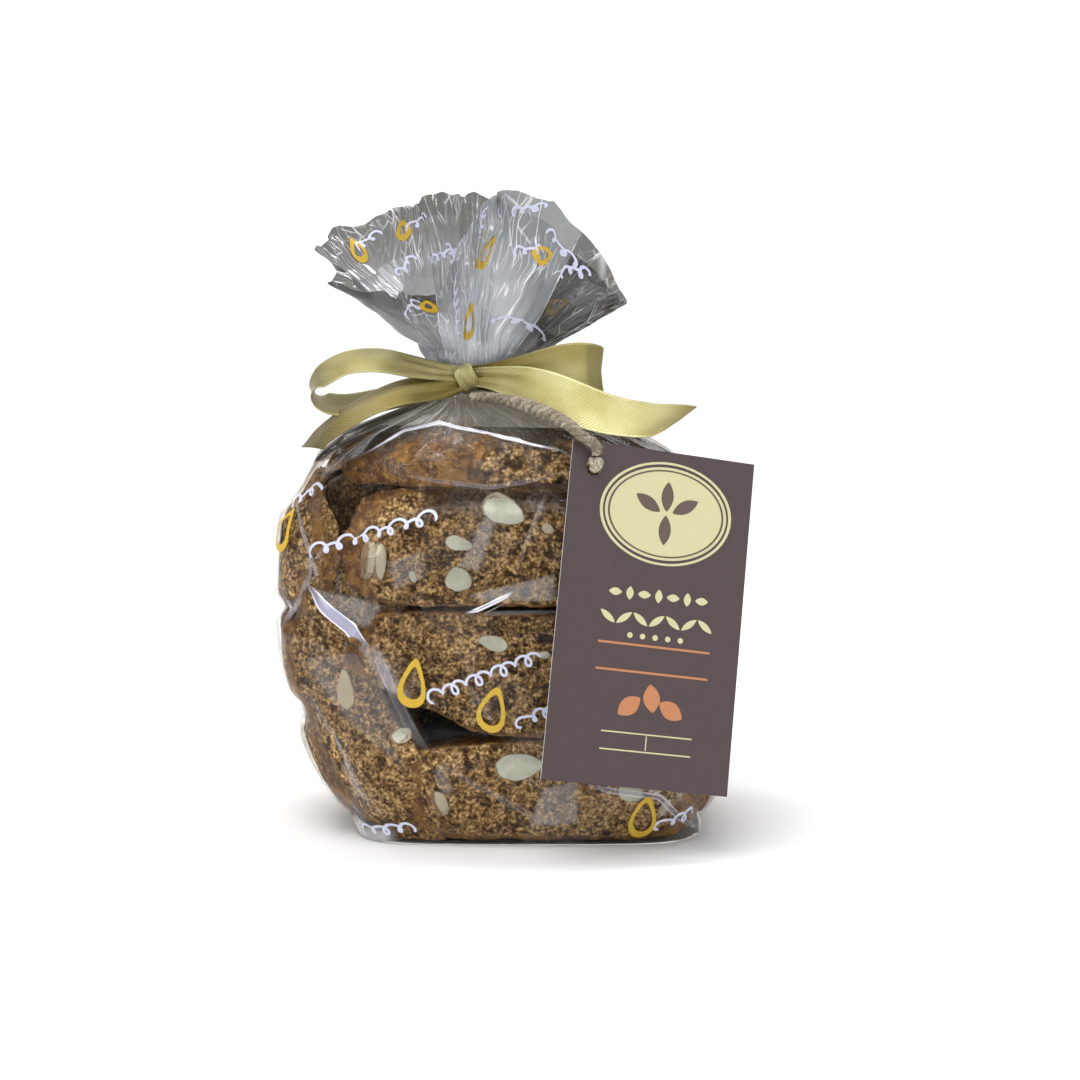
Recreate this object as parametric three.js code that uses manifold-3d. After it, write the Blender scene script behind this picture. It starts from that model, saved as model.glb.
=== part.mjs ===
// A clear film bag of almond biscotti, gathered at the neck and tied with a satin
// ribbon bow, with a card tag on a short twine. Millimetres, +Z up, front towards -Y.
// The origin is under the middle of the pack, on the surface that it stands on.
import * as THREE from "three";
import { mergeVertices } from "three/addons/utils/BufferGeometryUtils.js";
import Module from "manifold-3d";

const wasm = await Module();
wasm.setup();

// ---- driving dimensions -------------------------------------------------------------
const GAP = 0.4; // clearance between neighbouring pieces
const COLUMNS = 72; // facets round the bag

// The filled body, by height: how far it reaches left and right, half its depth, and
// how square its corners are (2 is an ellipse).
const BODY = [
  { z: 0, left: -44.0, right: 52.5, depth: 33.0, corner: 5.0 },
  { z: 18, left: -56.0, right: 58.0, depth: 36.5, corner: 4.0 },
  { z: 33, left: -61.5, right: 61.0, depth: 38.5, corner: 3.4 },
  { z: 48, left: -65.8, right: 62.5, depth: 39.5, corner: 3.2 },
  { z: 66, left: -66.7, right: 63.0, depth: 39.5, corner: 3.2 },
  { z: 84, left: -65.6, right: 61.0, depth: 38.0, corner: 3.2 },
  { z: 95, left: -61.5, right: 56.0, depth: 36.0, corner: 3.2 },
  { z: 104, left: -55.5, right: 46.0, depth: 33.0, corner: 3.0 },
  { z: 110, left: -47.0, right: 34.0, depth: 28.0, corner: 2.8 },
  { z: 115, left: -37.0, right: 19.0, depth: 20.5, corner: 2.4 },
  { z: 119, left: -27.5, right: 3.5, depth: 13.0, corner: 2.1 },
  { z: 122, left: -21.2, right: -4.8, depth: 7.8, corner: 2.0 },
];
const BODY_RINGS = [1.5, 5, 9, 13, 18, 23, 27, 31, 36, 42, 48, 54, 58, 62, 66, 72, 78, 84, 89,
  93, 96, 99, 102, 105, 107.5, 110, 112, 114, 116, 118, 119.5, 120.8, 122];
const BASE_ROUND = 1.5; // rounding of the bottom edge
const BASE_FLAT = 22; // inset of the ring that divides the flat bottom
const SHOULDER = { from: 98, to: 112, pleats: 13, depth: 0.045, twist: 0.2 }; // the gathers

// Biscuits that press out through the film: middle and size of each face that shows.
const PRESS_DEPTH = 2.2;
const PRESS_SETTLE = 1.3; // taken off again, so that the outline keeps its mean size
const PRESS_EDGE = [0.74, 1.12]; // where a face's rounded edge starts and ends
const PRESS_FROM = 6; // full relief above this height
const CORNER_FADE = [0.78, 0.98]; // the relief of one side fades towards the next
const PRESSED = [
  { face: "front", across: 1, up: 102.5, length: 88, height: 14.5, lean: -1 },
  { face: "front", across: 6, up: 78, length: 95, height: 32, lean: 0 },
  { face: "front", across: 4, up: 44, length: 90, height: 31, lean: -4 },
  { face: "front", across: -47, up: 28, length: 50, height: 26, lean: -58 },
  { face: "front", across: 12, up: 13, length: 80, height: 24, lean: 0 },
  { face: "left", across: 2, up: 79, length: 60, height: 30, lean: 4 },
  { face: "left", across: -2, up: 48, length: 56, height: 26, lean: -6 },
  { face: "left", across: 0, up: 18, length: 50, height: 28, lean: 0 },
  { face: "right", across: -2, up: 80, length: 58, height: 30, lean: -3 },
  { face: "right", across: 2, up: 47, length: 60, height: 28, lean: 3 },
  { face: "right", across: 0, up: 17, length: 50, height: 26, lean: 0 },
  { face: "back", across: -5, up: 100, length: 84, height: 17, lean: 2 },
  { face: "back", across: 2, up: 76, length: 100, height: 28, lean: 0 },
  { face: "back", across: -4, up: 45, length: 96, height: 30, lean: 3 },
  { face: "back", across: 4, up: 14, length: 84, height: 26, lean: 0 },
];

// The tied neck and the open film above it. Each rim row is an angle round the neck
// (0 is right, 90 back, 180 left, 270 front), the reach from the neck, and the height.
const NECK = { x: -13, y: -0.5, radius: 7.2, bottom: 123.5, top: 129 };
const FILM_WALL = 1.2;
const PLEAT_DEPTH = 2.1;
const FLARE_SPREAD = 0.72; // how soon the film spreads: 1 is a straight cone
const FLARE_RINGS = 12;
const FLOOR_RING = 2; // the gathered film is closed up to this ring
const FLOOR_RISE = 3.5; // its middle, above the neck
const RIM = [
  { angle: 0, reach: 45.5, z: 147 },
  { angle: 14, reach: 40, z: 154 },
  { angle: 34, reach: 35, z: 166 },
  { angle: 60, reach: 25, z: 177 },
  { angle: 90, reach: 21, z: 180 },
  { angle: 120, reach: 24, z: 179 },
  { angle: 145, reach: 33, z: 174 },
  { angle: 164, reach: 39, z: 168 },
  { angle: 180, reach: 41, z: 162 },
  { angle: 196, reach: 38, z: 154 },
  { angle: 222, reach: 29, z: 149 },
  { angle: 248, reach: 21, z: 149 },
  { angle: 264, reach: 19, z: 161 },
  { angle: 284, reach: 19, z: 173 },
  { angle: 306, reach: 21, z: 178 },
  { angle: 326, reach: 26, z: 173 },
  { angle: 341, reach: 34, z: 165 },
  { angle: 352, reach: 41, z: 153 },
];

// Satin ribbon, 12.7 mm wide. Each strip is a list of places along its middle, with the
// way that its width runs there and how much of the width is open.
const RIBBON_WIDTH = 12.7;
const RIBBON_THICK = 0.5;
const RIBBON_CROWN = 0.35; // the middle of a strip stands up this far
const KNOT = { x: -13, y: -12.4, z: 126, across: 2.9, deep: 3.3, high: 4.1, tilt: 28 };
const BAND = { wall: 1.3, low: 123.9, high: 128.6 };
const LEFT_LOOP = [
  { at: [-13.5, -12.0, 126.8], width: [0, -0.55, -0.84], open: 0.42 },
  { at: [-20, -12.8, 127.6], width: [0, -0.7, -0.71], open: 0.5 },
  { at: [-28, -14.0, 129.2], width: [0, -0.82, -0.57], open: 0.8 },
  { at: [-37, -15.4, 130.9], width: [0, -0.87, -0.5], open: 1 },
  { at: [-45.5, -16.6, 130.2], width: [0.1, -0.87, -0.5], open: 1 },
  { at: [-51.4, -17.6, 127.0], width: [0.2, -0.86, -0.48], open: 1 },
  { at: [-54.0, -18.3, 123.0], width: [0.2, -0.88, -0.4], open: 1 },
  { at: [-51.8, -18.6, 119.9], width: [0.1, -0.9, -0.42], open: 1 },
  { at: [-45.5, -18.0, 118.8], width: [0, -0.9, -0.44], open: 1 },
  { at: [-36, -16.2, 120.2], width: [0, -0.88, -0.48], open: 1 },
  { at: [-26, -14.2, 122.4], width: [0, -0.8, -0.6], open: 0.75 },
  { at: [-14, -12.6, 125.2], width: [0, -0.6, -0.8], open: 0.42 },
];
const RIGHT_LOOP = [
  { at: [-12.5, -12.0, 126.8], width: [0, -0.4, -0.92], open: 0.42 },
  { at: [-5, -13.2, 127.6], width: [0, -0.4, -0.92], open: 0.5 },
  { at: [4, -15.0, 128.0], width: [0, -0.3, -0.95], open: 0.8 },
  { at: [13, -16.4, 129.0], width: [0, -0.2, -0.98], open: 1 },
  { at: [20, -16.2, 129.4], width: [0, -0.15, -0.99], open: 1 },
  { at: [24.2, -12.2, 128.0], width: [0, -0.1, -0.99], open: 1 },
  { at: [21.5, -8.0, 126.2], width: [0, 0, -1], open: 1 },
  { at: [13, -7.0, 125.4], width: [0, 0, -1], open: 0.9 },
  { at: [3, -8.4, 125.2], width: [0, 0, -1], open: 0.6 },
  { at: [-12, -11.6, 125.6], width: [0, -0.3, -0.95], open: 0.42 },
];
const RIGHT_TAIL = [
  { at: [-12, -12.8, 126.4], width: [0.2, -0.4, -0.87], open: 0.4 },
  { at: [-5, -15.4, 126.0], width: [0.25, -0.4, -0.83], open: 0.55 },
  { at: [4, -20.0, 124.0], width: [0.3, -0.45, -0.81], open: 0.85 },
  { at: [14, -24.4, 120.4], width: [0.3, -0.5, -0.81], open: 1 },
  { at: [25, -27.0, 116.6], width: [0.2, -0.55, -0.81], open: 1 },
  { at: [36, -27.4, 115.0], width: [-0.1, -0.7, -0.7], open: 1 },
  { at: [44.5, -26.4, 115.2], width: [-0.4, -0.8, -0.45], open: 0.95 },
];
const LEFT_TAIL = [
  { at: [-14, -12.8, 125.0], width: [0, -0.6, -0.8], open: 0.42 },
  { at: [-21, -16.4, 123.6], width: [0, -0.7, -0.7], open: 0.7 },
  { at: [-30, -20.4, 122.2], width: [0.05, -0.85, -0.5], open: 0.95 },
  { at: [-38, -24.0, 119.2], width: [0.05, -0.95, -0.3], open: 1 },
  { at: [-45, -27.0, 115.2], width: [0.05, -0.97, -0.22], open: 1 },
  { at: [-50.4, -28.8, 111.2], width: [0.05, -0.97, -0.22], open: 1 },
  { at: [-53.6, -29.6, 107.2], width: [0.05, -0.97, -0.22], open: 1 },
];
const RIGHT_TAIL_SLANT = 6; // how far the slanted cut runs past the middle
const LEFT_TAIL_SLANT = 1.5;

// Card tag that hangs by its upper left corner and leans on the front of the bag.
const TAG = { width: 51, height: 89, thick: 0.5, x: 36, z: 63.6, turn: 15.5, lean: 11.2, roll: 8.8 };
const TAG_HOLE = { fromLeft: 6.3, fromTop: 6.8, radius: 2.2 };

// Twine from under the knot to the hole in the tag.
const TWINE_RADIUS = 1.3;
const TWINE_SIDES = 8;
const TWINE_STEPS = 18;
const TWINE_KNOT = { radius: 1.9, above: 0.6, out: 1.8 };
const TWINE_FROM_KNOT = [
  [-11.4, -14.2, 120.6],
  [-8.2, -16.8, 120.8],
  [-4.6, -20.0, 120.6],
  [-1.2, -23.0, 120.0],
  [2.2, -26.0, 119.3],
  [5.6, -29.0, 118.2],
  [8.8, -31.8, 117.0],
  [12.0, -34.6, 115.6],
  [15.0, -37.2, 113.9],
  [17.6, -39.2, 111.6],
];
const TWINE_TO_HOLE = [ // right of the hole, above it, and out from the card
  [-0.9, 5.4, 2.6],
  [0, 3.0, 1.9],
];

const COLOURS = {
  film: 0xb7a893,
  ribbon: 0xb9a550,
  card: 0x5a4a4e,
  twine: 0x9c8a72,
};

// ---- small helpers ------------------------------------------------------------------
/** Smooth value of `field` at `at`, through rows sorted by `key`. */
function smoothAt(rows, key, field, at) {
  let i = 0;
  while (i < rows.length - 2 && at > rows[i + 1][key]) i += 1;
  const low = rows[i];
  const high = rows[i + 1];
  const span = high[key] - low[key];
  const slope = (a, b) => (b[field] - a[field]) / (b[key] - a[key]);
  const middle = slope(low, high);
  const before = i > 0 ? slope(rows[i - 1], low) : middle;
  const after = i < rows.length - 2 ? slope(high, rows[i + 2]) : middle;
  // A tangent between slopes of unlike sign is level, so nothing overshoots.
  const tangent = (a, b) => (a * b > 0 ? (2 * a * b) / (a + b) : 0);
  const t = THREE.MathUtils.clamp((at - low[key]) / span, 0, 1);
  const square = t * t;
  const cube = square * t;
  return low[field] * (2 * cube - 3 * square + 1)
    + tangent(before, middle) * span * (cube - 2 * square + t)
    + high[field] * (3 * square - 2 * cube)
    + tangent(middle, after) * span * (cube - square);
}

/** A closed geometry from rings of points, with a middle point at each end. */
function closedFromRings(rings, startMiddle, endMiddle) {
  const count = rings[0].length;
  const points = [startMiddle, ...rings.flat(), endMiddle];
  const last = points.length - 1;
  const at = (ring, column) => 1 + ring * count + (column % count);
  const faces = [];
  for (let column = 0; column < count; column += 1) {
    faces.push(0, at(0, column + 1), at(0, column));
    for (let ring = 0; ring < rings.length - 1; ring += 1) {
      faces.push(at(ring, column), at(ring, column + 1), at(ring + 1, column + 1));
      faces.push(at(ring, column), at(ring + 1, column + 1), at(ring + 1, column));
    }
    faces.push(last, at(rings.length - 1, column), at(rings.length - 1, column + 1));
  }
  const geometry = new THREE.BufferGeometry().setFromPoints(points);
  geometry.setIndex(faces);
  return geometry;
}

function toSolid(geometry) {
  const bare = geometry.clone();
  bare.deleteAttribute("normal");
  bare.deleteAttribute("uv");
  const merged = mergeVertices(bare, 1e-4);
  return new wasm.Manifold(new wasm.Mesh({
    numProp: 3,
    vertProperties: new Float32Array(merged.attributes.position.array),
    triVerts: new Uint32Array(merged.index.array),
  }));
}

function toGeometry(solid) {
  const mesh = solid.getMesh();
  const geometry = new THREE.BufferGeometry();
  geometry.setAttribute("position", new THREE.BufferAttribute(mesh.vertProperties, mesh.numProp));
  geometry.setIndex(new THREE.BufferAttribute(mesh.triVerts, 1));
  return geometry;
}

function makeMesh(name, geometry, colour, roughness) {
  const material = new THREE.MeshStandardMaterial({ color: colour, roughness, metalness: 0 });
  const mesh = new THREE.Mesh(geometry, material);
  mesh.name = name;
  return mesh;
}

// ---- the bag ------------------------------------------------------------------------
/** How far the biscuits behind the film push it out at a point of one face. */
function pressedOut(face, across, up) {
  let push = 0;
  for (const slab of PRESSED) {
    if (slab.face !== face) continue;
    const lean = THREE.MathUtils.degToRad(slab.lean);
    const right = across - slab.across;
    const rise = up - slab.up;
    const along = (right * Math.cos(lean) + rise * Math.sin(lean)) / (slab.length / 2);
    const over = (rise * Math.cos(lean) - right * Math.sin(lean)) / (slab.height / 2);
    const edge = Math.pow(along ** 4 + over ** 4, 1 / 4);
    push = Math.max(push, 1 - THREE.MathUtils.smoothstep(edge, ...PRESS_EDGE));
  }
  return push * PRESS_DEPTH;
}

/** A point of the filled body at one height and angle. */
function bodyPoint(z, angle, inset) {
  const left = smoothAt(BODY, "z", "left", z);
  const right = smoothAt(BODY, "z", "right", z);
  const corner = smoothAt(BODY, "z", "corner", z);
  const halfWidth = (right - left) / 2 - inset;
  const halfDepth = smoothAt(BODY, "z", "depth", z) - inset;
  const c = Math.cos(angle);
  const s = Math.sin(angle);
  const reach = Math.pow(Math.abs(c) ** corner + Math.abs(s) ** corner, -1 / corner);
  const gathered = THREE.MathUtils.smoothstep(z, SHOULDER.from, SHOULDER.to);
  const wave = Math.sin(SHOULDER.pleats * angle)
    + 0.5 * Math.sin(2 * SHOULDER.pleats * angle + SHOULDER.twist * z);
  const pleat = 1 + gathered * SHOULDER.depth * wave;
  const x = (left + right) / 2 + halfWidth * reach * c * pleat;
  const y = halfDepth * reach * s * pleat;
  const ahead = THREE.MathUtils.smoothstep(Math.abs(s) * reach, ...CORNER_FADE);
  const beside = THREE.MathUtils.smoothstep(Math.abs(c) * reach, ...CORNER_FADE);
  const push = ahead * pressedOut(s < 0 ? "front" : "back", x, z)
    + beside * (1 - ahead) * pressedOut(c < 0 ? "left" : "right", y, z);
  const out = (push - PRESS_SETTLE) * (1 - gathered) * THREE.MathUtils.smoothstep(z, -1, PRESS_FROM);
  return new THREE.Vector3(x + out * c, y + out * s, z);
}

/** Irregular folds round the open film: about -1 to 1. */
function pleatWave(angle, t) {
  return 0.5 * Math.sin(9 * angle + 0.8) + 0.35 * Math.sin(14 * angle + 2.4 + 1.5 * t)
    + 0.25 * Math.sin(5 * angle + 4.0 * t);
}

/** A point of the open film above the tie: t runs from the neck, 0, to the rim, 1. */
function flarePoint(angle, t, inset) {
  const degrees = THREE.MathUtils.euclideanModulo(THREE.MathUtils.radToDeg(angle), 360);
  const turned = (row, turns) => ({ ...row, angle: row.angle + 360 * turns });
  const rim = [turned(RIM[RIM.length - 1], -1), ...RIM, turned(RIM[0], 1), turned(RIM[1], 1)];
  const rimReach = smoothAt(rim, "angle", "reach", degrees);
  const rimHeight = smoothAt(rim, "angle", "z", degrees);
  const spread = NECK.radius + (rimReach - NECK.radius) * Math.pow(t, FLARE_SPREAD);
  const reach = spread + PLEAT_DEPTH * t * pleatWave(angle, t) - inset;
  return new THREE.Vector3(
    NECK.x + reach * Math.cos(angle),
    NECK.y + reach * Math.sin(angle),
    NECK.top + (rimHeight - NECK.top) * t,
  );
}

function makeBag() {
  const ring = (pointAt) => Array.from({ length: COLUMNS }, (_, i) => pointAt((2 * Math.PI * i) / COLUMNS));
  const rings = [
    ring((angle) => bodyPoint(0, angle, BASE_FLAT)),
    ring((angle) => bodyPoint(0, angle, BASE_ROUND)),
    ...BODY_RINGS.map((z) => ring((angle) => bodyPoint(z, angle, 0))),
    ring((angle) => flarePoint(angle, 0, 0).setZ(NECK.bottom)),
  ];
  for (let i = 0; i <= FLARE_RINGS; i += 1) {
    rings.push(ring((angle) => flarePoint(angle, i / FLARE_RINGS, 0)));
  }
  for (let i = FLARE_RINGS; i >= FLOOR_RING; i -= 1) {
    rings.push(ring((angle) => flarePoint(angle, i / FLARE_RINGS, FILM_WALL)));
  }
  const middle = bodyPoint(0, 0, 0).add(bodyPoint(0, Math.PI, 0)).multiplyScalar(0.5);
  const floor = new THREE.Vector3(NECK.x, NECK.y, NECK.top + FLOOR_RISE);
  return makeMesh("bag", closedFromRings(rings, middle, floor), COLOURS.film, 0.3);
}

// ---- the ribbon ---------------------------------------------------------------------
/** One strip of ribbon along its places, slightly crowned across its width. */
function ribbonStrip(places, steps, slant = 0) {
  const middle = new THREE.CatmullRomCurve3(places.map((p) => new THREE.Vector3(...p.at)));
  const wide = new THREE.CatmullRomCurve3(places.map((p) =>
    new THREE.Vector3(...p.width).normalize().multiplyScalar(p.open)));
  const rings = [];
  for (let i = 0; i <= steps; i += 1) {
    const t = i / steps;
    const along = middle.getTangent(t);
    const across = wide.getPoint(t);
    const half = across.length() * RIBBON_WIDTH / 2;
    across.addScaledVector(along, -across.dot(along)).normalize();
    const out = new THREE.Vector3().crossVectors(along, across);
    const skew = slant * THREE.MathUtils.smoothstep(t, 0.75, 1);
    const corner = (side, face) => middle.getPoint(t)
      .addScaledVector(across, side * half)
      .addScaledVector(along, -side * skew)
      .addScaledVector(out, face * RIBBON_THICK / 2 + (1 - Math.abs(side)) * RIBBON_CROWN);
    rings.push([corner(-1, -1), corner(0, -1), corner(1, -1), corner(1, 1), corner(0, 1), corner(-1, 1)]);
  }
  const centre = (points) => points.reduce((sum, p) => sum.add(p), new THREE.Vector3())
    .multiplyScalar(1 / points.length);
  return toSolid(closedFromRings(rings, centre(rings[0]), centre(rings[steps])));
}

function ribbonKnot() {
  const knot = new THREE.SphereGeometry(1, 16, 10);
  knot.scale(KNOT.across, KNOT.deep, KNOT.high);
  knot.rotateY(-THREE.MathUtils.degToRad(KNOT.tilt));
  knot.translate(KNOT.x, KNOT.y, KNOT.z);
  return toSolid(knot);
}

function ribbonBand() {
  const inner = NECK.radius + GAP;
  const outline = new THREE.Shape().absarc(0, 0, inner + BAND.wall, 0, 2 * Math.PI);
  outline.holes.push(new THREE.Path().absarc(0, 0, inner, 0, 2 * Math.PI, true));
  const band = new THREE.ExtrudeGeometry(outline, {
    depth: BAND.high - BAND.low, bevelEnabled: false, curveSegments: 14,
  });
  band.translate(NECK.x, NECK.y, BAND.low);
  return toSolid(band);
}

function makeRibbon() {
  const solid = ribbonBand()
    .add(ribbonKnot())
    .add(ribbonStrip(LEFT_LOOP, 26))
    .add(ribbonStrip(RIGHT_LOOP, 22))
    .add(ribbonStrip(RIGHT_TAIL, 14, RIGHT_TAIL_SLANT))
    .add(ribbonStrip(LEFT_TAIL, 14, LEFT_TAIL_SLANT));
  return makeMesh("ribbon", toGeometry(solid), COLOURS.ribbon, 0.45);
}

// ---- the tag and its twine ----------------------------------------------------------
/** The turned frame that the card lies in: its own x is right, y up, z out of the front. */
function tagFrame() {
  const turn = THREE.MathUtils.degToRad(TAG.turn);
  const lean = THREE.MathUtils.degToRad(TAG.lean);
  const roll = THREE.MathUtils.degToRad(TAG.roll);
  const frame = new THREE.Matrix4().makeRotationZ(turn);
  frame.multiply(new THREE.Matrix4().makeRotationX(Math.PI / 2 - lean));
  frame.multiply(new THREE.Matrix4().makeRotationZ(-roll));
  return frame;
}

/** The card touches the bag's front at its fullest point under the card. */
function seatTag(bag, frame) {
  const out = new THREE.Vector3().setFromMatrixColumn(frame, 2);
  const right = new THREE.Vector3().setFromMatrixColumn(frame, 0);
  const up = new THREE.Vector3().setFromMatrixColumn(frame, 1);
  const aim = new THREE.Vector3(TAG.x, 0, TAG.z);
  const place = bag.geometry.attributes.position;
  let furthest = -Infinity;
  for (let i = 0; i < place.count; i += 1) {
    const reach = new THREE.Vector3().fromBufferAttribute(place, i).sub(aim);
    const under = Math.abs(reach.dot(right)) < TAG.width * 0.6 && Math.abs(reach.dot(up)) < TAG.height * 0.6;
    if (under && reach.y < 0) furthest = Math.max(furthest, reach.dot(out));
  }
  const away = (furthest + GAP + TAG.thick / 2) / -out.y;
  return new THREE.Vector3(TAG.x, -away, TAG.z);
}

function makeTag(frame, centre) {
  const card = new THREE.Shape();
  card.moveTo(-TAG.width / 2, -TAG.height / 2);
  card.lineTo(TAG.width / 2, -TAG.height / 2);
  card.lineTo(TAG.width / 2, TAG.height / 2);
  card.lineTo(-TAG.width / 2, TAG.height / 2);
  card.closePath();
  const hole = new THREE.Path();
  hole.absarc(TAG_HOLE.fromLeft - TAG.width / 2, TAG.height / 2 - TAG_HOLE.fromTop, TAG_HOLE.radius,
    0, 2 * Math.PI, true);
  card.holes.push(hole);
  const geometry = new THREE.ExtrudeGeometry(card, {
    depth: TAG.thick, bevelEnabled: false, curveSegments: 12,
  });
  geometry.translate(0, 0, -TAG.thick / 2);
  const tag = makeMesh("tag", geometry, COLOURS.card, 0.6);
  tag.quaternion.setFromRotationMatrix(frame);
  tag.position.copy(centre);
  return tag;
}

/** A place by the hole: right of its middle, above it, and out from the card's middle plane. */
function byHole(frame, centre, right, above, out) {
  const inCard = new THREE.Vector3(TAG_HOLE.fromLeft - TAG.width / 2 + right,
    TAG.height / 2 - TAG_HOLE.fromTop + above, out);
  return inCard.applyMatrix4(frame).add(centre);
}

/** A small hard knot that stops the twine at the hole of the tag. */
function makeTwineKnot(frame, centre) {
  const knot = makeMesh("twine_knot", new THREE.SphereGeometry(TWINE_KNOT.radius, 12, 8), COLOURS.twine, 0.9);
  knot.position.copy(byHole(frame, centre, 0, TWINE_KNOT.above, TWINE_KNOT.out));
  return knot;
}

function makeTwine(frame, centre) {
  const route = [
    ...TWINE_FROM_KNOT.map((place) => new THREE.Vector3(...place)),
    ...TWINE_TO_HOLE.map((place) => byHole(frame, centre, ...place)),
  ];
  const section = new THREE.Shape().absarc(0, 0, TWINE_RADIUS, 0, 2 * Math.PI);
  const tube = new THREE.ExtrudeGeometry(section, {
    steps: TWINE_STEPS, curveSegments: TWINE_SIDES / 2, bevelEnabled: false,
    extrudePath: new THREE.CatmullRomCurve3(route),
  });
  return makeMesh("twine", tube, COLOURS.twine, 0.9);
}

// ---- the pack -----------------------------------------------------------------------
function makePack() {
  const bag = makeBag();
  const frame = tagFrame();
  const centre = seatTag(bag, frame);
  const pack = new THREE.Group();
  pack.add(bag, makeRibbon(), makeTag(frame, centre));
  const box = new THREE.Box3().setFromObject(pack, true);
  pack.add(makeTwine(frame, centre), makeTwineKnot(frame, centre));
  pack.position.set(-(box.min.x + box.max.x) / 2, -(box.min.y + box.max.y) / 2, -box.min.z);
  return pack;
}

export default makePack();
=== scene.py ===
"""A clear film bag of almond biscotti, tied with a satin bow, with a card tag on twine."""
import random
from math import copysign, cos, degrees, exp, floor, hypot, pi, radians, sin, sqrt

import bmesh
import bpy
from mathutils import Matrix, Vector, noise


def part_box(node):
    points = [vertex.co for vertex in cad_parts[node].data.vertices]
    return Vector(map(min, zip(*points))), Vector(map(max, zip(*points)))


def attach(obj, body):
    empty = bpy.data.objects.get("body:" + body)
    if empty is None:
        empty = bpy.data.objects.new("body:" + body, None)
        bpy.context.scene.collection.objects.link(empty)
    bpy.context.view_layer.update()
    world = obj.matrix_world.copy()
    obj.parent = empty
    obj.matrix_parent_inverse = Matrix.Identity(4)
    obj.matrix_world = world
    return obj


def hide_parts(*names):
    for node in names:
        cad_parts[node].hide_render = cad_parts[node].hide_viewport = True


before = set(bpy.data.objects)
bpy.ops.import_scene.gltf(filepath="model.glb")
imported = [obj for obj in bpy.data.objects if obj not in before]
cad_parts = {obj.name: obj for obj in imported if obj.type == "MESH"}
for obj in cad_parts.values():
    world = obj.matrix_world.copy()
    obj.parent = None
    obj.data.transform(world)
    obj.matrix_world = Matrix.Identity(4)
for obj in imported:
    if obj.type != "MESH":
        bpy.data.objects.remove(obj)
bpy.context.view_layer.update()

# ---- camera, floor and light ------------------------------------------------------------
# The pack stands on a pale sheet that curves up behind it. A wide soft light hangs high over
# it, narrow ones give the film its streaks, and the camera looks slightly down.
MM = 0.001
TAG_PLACE = (36.0, 63.6)  # the card's middle, across and up, from the pack's plumb line
tag_low, tag_high = (Vector(corner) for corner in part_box("tag"))
bag_low, bag_high = (Vector(corner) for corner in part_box("bag"))
PLUMB = Vector(((tag_low.x + tag_high.x) / 2 - TAG_PLACE[0] * MM, (bag_low.y + bag_high.y) / 2, 0))


def at(x, y, z):
    """A point given in millimetres from the plumb line through the middle of the bag."""
    return PLUMB + Vector((x, y, z)) * MM


CAMERA_LENS = 58.5
CAMERA_AWAY = 500.0
CAMERA_DOWN = radians(6.0)
CAMERA_AIM = (7.1, 0.0, 79.9)
STRIPS = [  # degrees round from the front, height, width, length and power of the narrow lights
    (-62, 0.35, 0.025, 0.5, 0.4), (-28, 0.75, 0.02, 0.3, 0.35), (24, 0.7, 0.3, 0.015, 0.3),
    (55, 0.5, 0.02, 0.4, 0.35), (8, 0.95, 0.7, 0.015, 0.5), (-12, 0.42, 0.015, 0.12, 0.15),
    (16, 0.35, 0.015, 0.12, 0.15), (-85, 0.6, 0.02, 0.4, 0.35), (95, 0.4, 0.02, 0.4, 0.35),
]
STRIPS_AWAY = 0.95
ROOM_COLOUR, ROOM_STRENGTH = (0.93, 0.96, 1.0), 0.22


def add_camera():
    camera = bpy.data.objects.new("camera", bpy.data.cameras.new("camera"))
    camera.data.lens = CAMERA_LENS
    camera.data.clip_start = 0.01
    x, y, z = CAMERA_AIM
    back, up = CAMERA_AWAY * cos(CAMERA_DOWN), CAMERA_AWAY * sin(CAMERA_DOWN)
    camera.location = at(x, y - back, z + up)
    camera.rotation_euler = (pi / 2 - CAMERA_DOWN, 0, 0)
    bpy.context.scene.collection.objects.link(camera)
    bpy.context.scene.camera = camera


def add_area_light(name, place, aim, size, power):
    light = bpy.data.lights.new(name, "AREA")
    light.shape = "RECTANGLE"
    light.size, light.size_y = size
    light.energy = power
    lamp = bpy.data.objects.new(name, light)
    lamp.location = place
    lamp.rotation_euler = (Vector(aim) - Vector(place)).to_track_quat("-Z", "Y").to_euler()
    bpy.context.scene.collection.objects.link(lamp)


def arithmetic(operation, swapped=False):
    """A method that puts one Math node behind a socket and another socket or number."""
    def combine(self, other):
        first, second = (other, self) if swapped else (self, other)
        return node(self.tree, "ShaderNodeMath", {"operation": operation}, {0: first, 1: second})

    return combine


class Socket:
    """A shader socket that arithmetic on it turns into Math nodes."""

    def __init__(self, tree, link):
        self.tree = tree
        self.link = link

    __add__, __radd__ = arithmetic("ADD"), arithmetic("ADD", swapped=True)
    __sub__, __rsub__ = arithmetic("SUBTRACT"), arithmetic("SUBTRACT", swapped=True)
    __mul__, __rmul__ = arithmetic("MULTIPLY"), arithmetic("MULTIPLY", swapped=True)
    __truediv__ = arithmetic("DIVIDE")
    at_least, at_most = arithmetic("MAXIMUM"), arithmetic("MINIMUM")

    def size(self):
        return node(self.tree, "ShaderNodeMath", {"operation": "ABSOLUTE"}, {0: self})

    def sine(self):
        return node(self.tree, "ShaderNodeMath", {"operation": "SINE"}, {0: self})

    def clipped(self):
        return node(self.tree, "ShaderNodeClamp", {}, {"Value": self})

    def between(self, low, high):
        """0 below low, 1 above high, smooth between."""
        return node(self.tree, "ShaderNodeMapRange", {"interpolation_type": "SMOOTHSTEP"},
                    {"Value": self, "From Min": low, "From Max": high})


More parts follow.
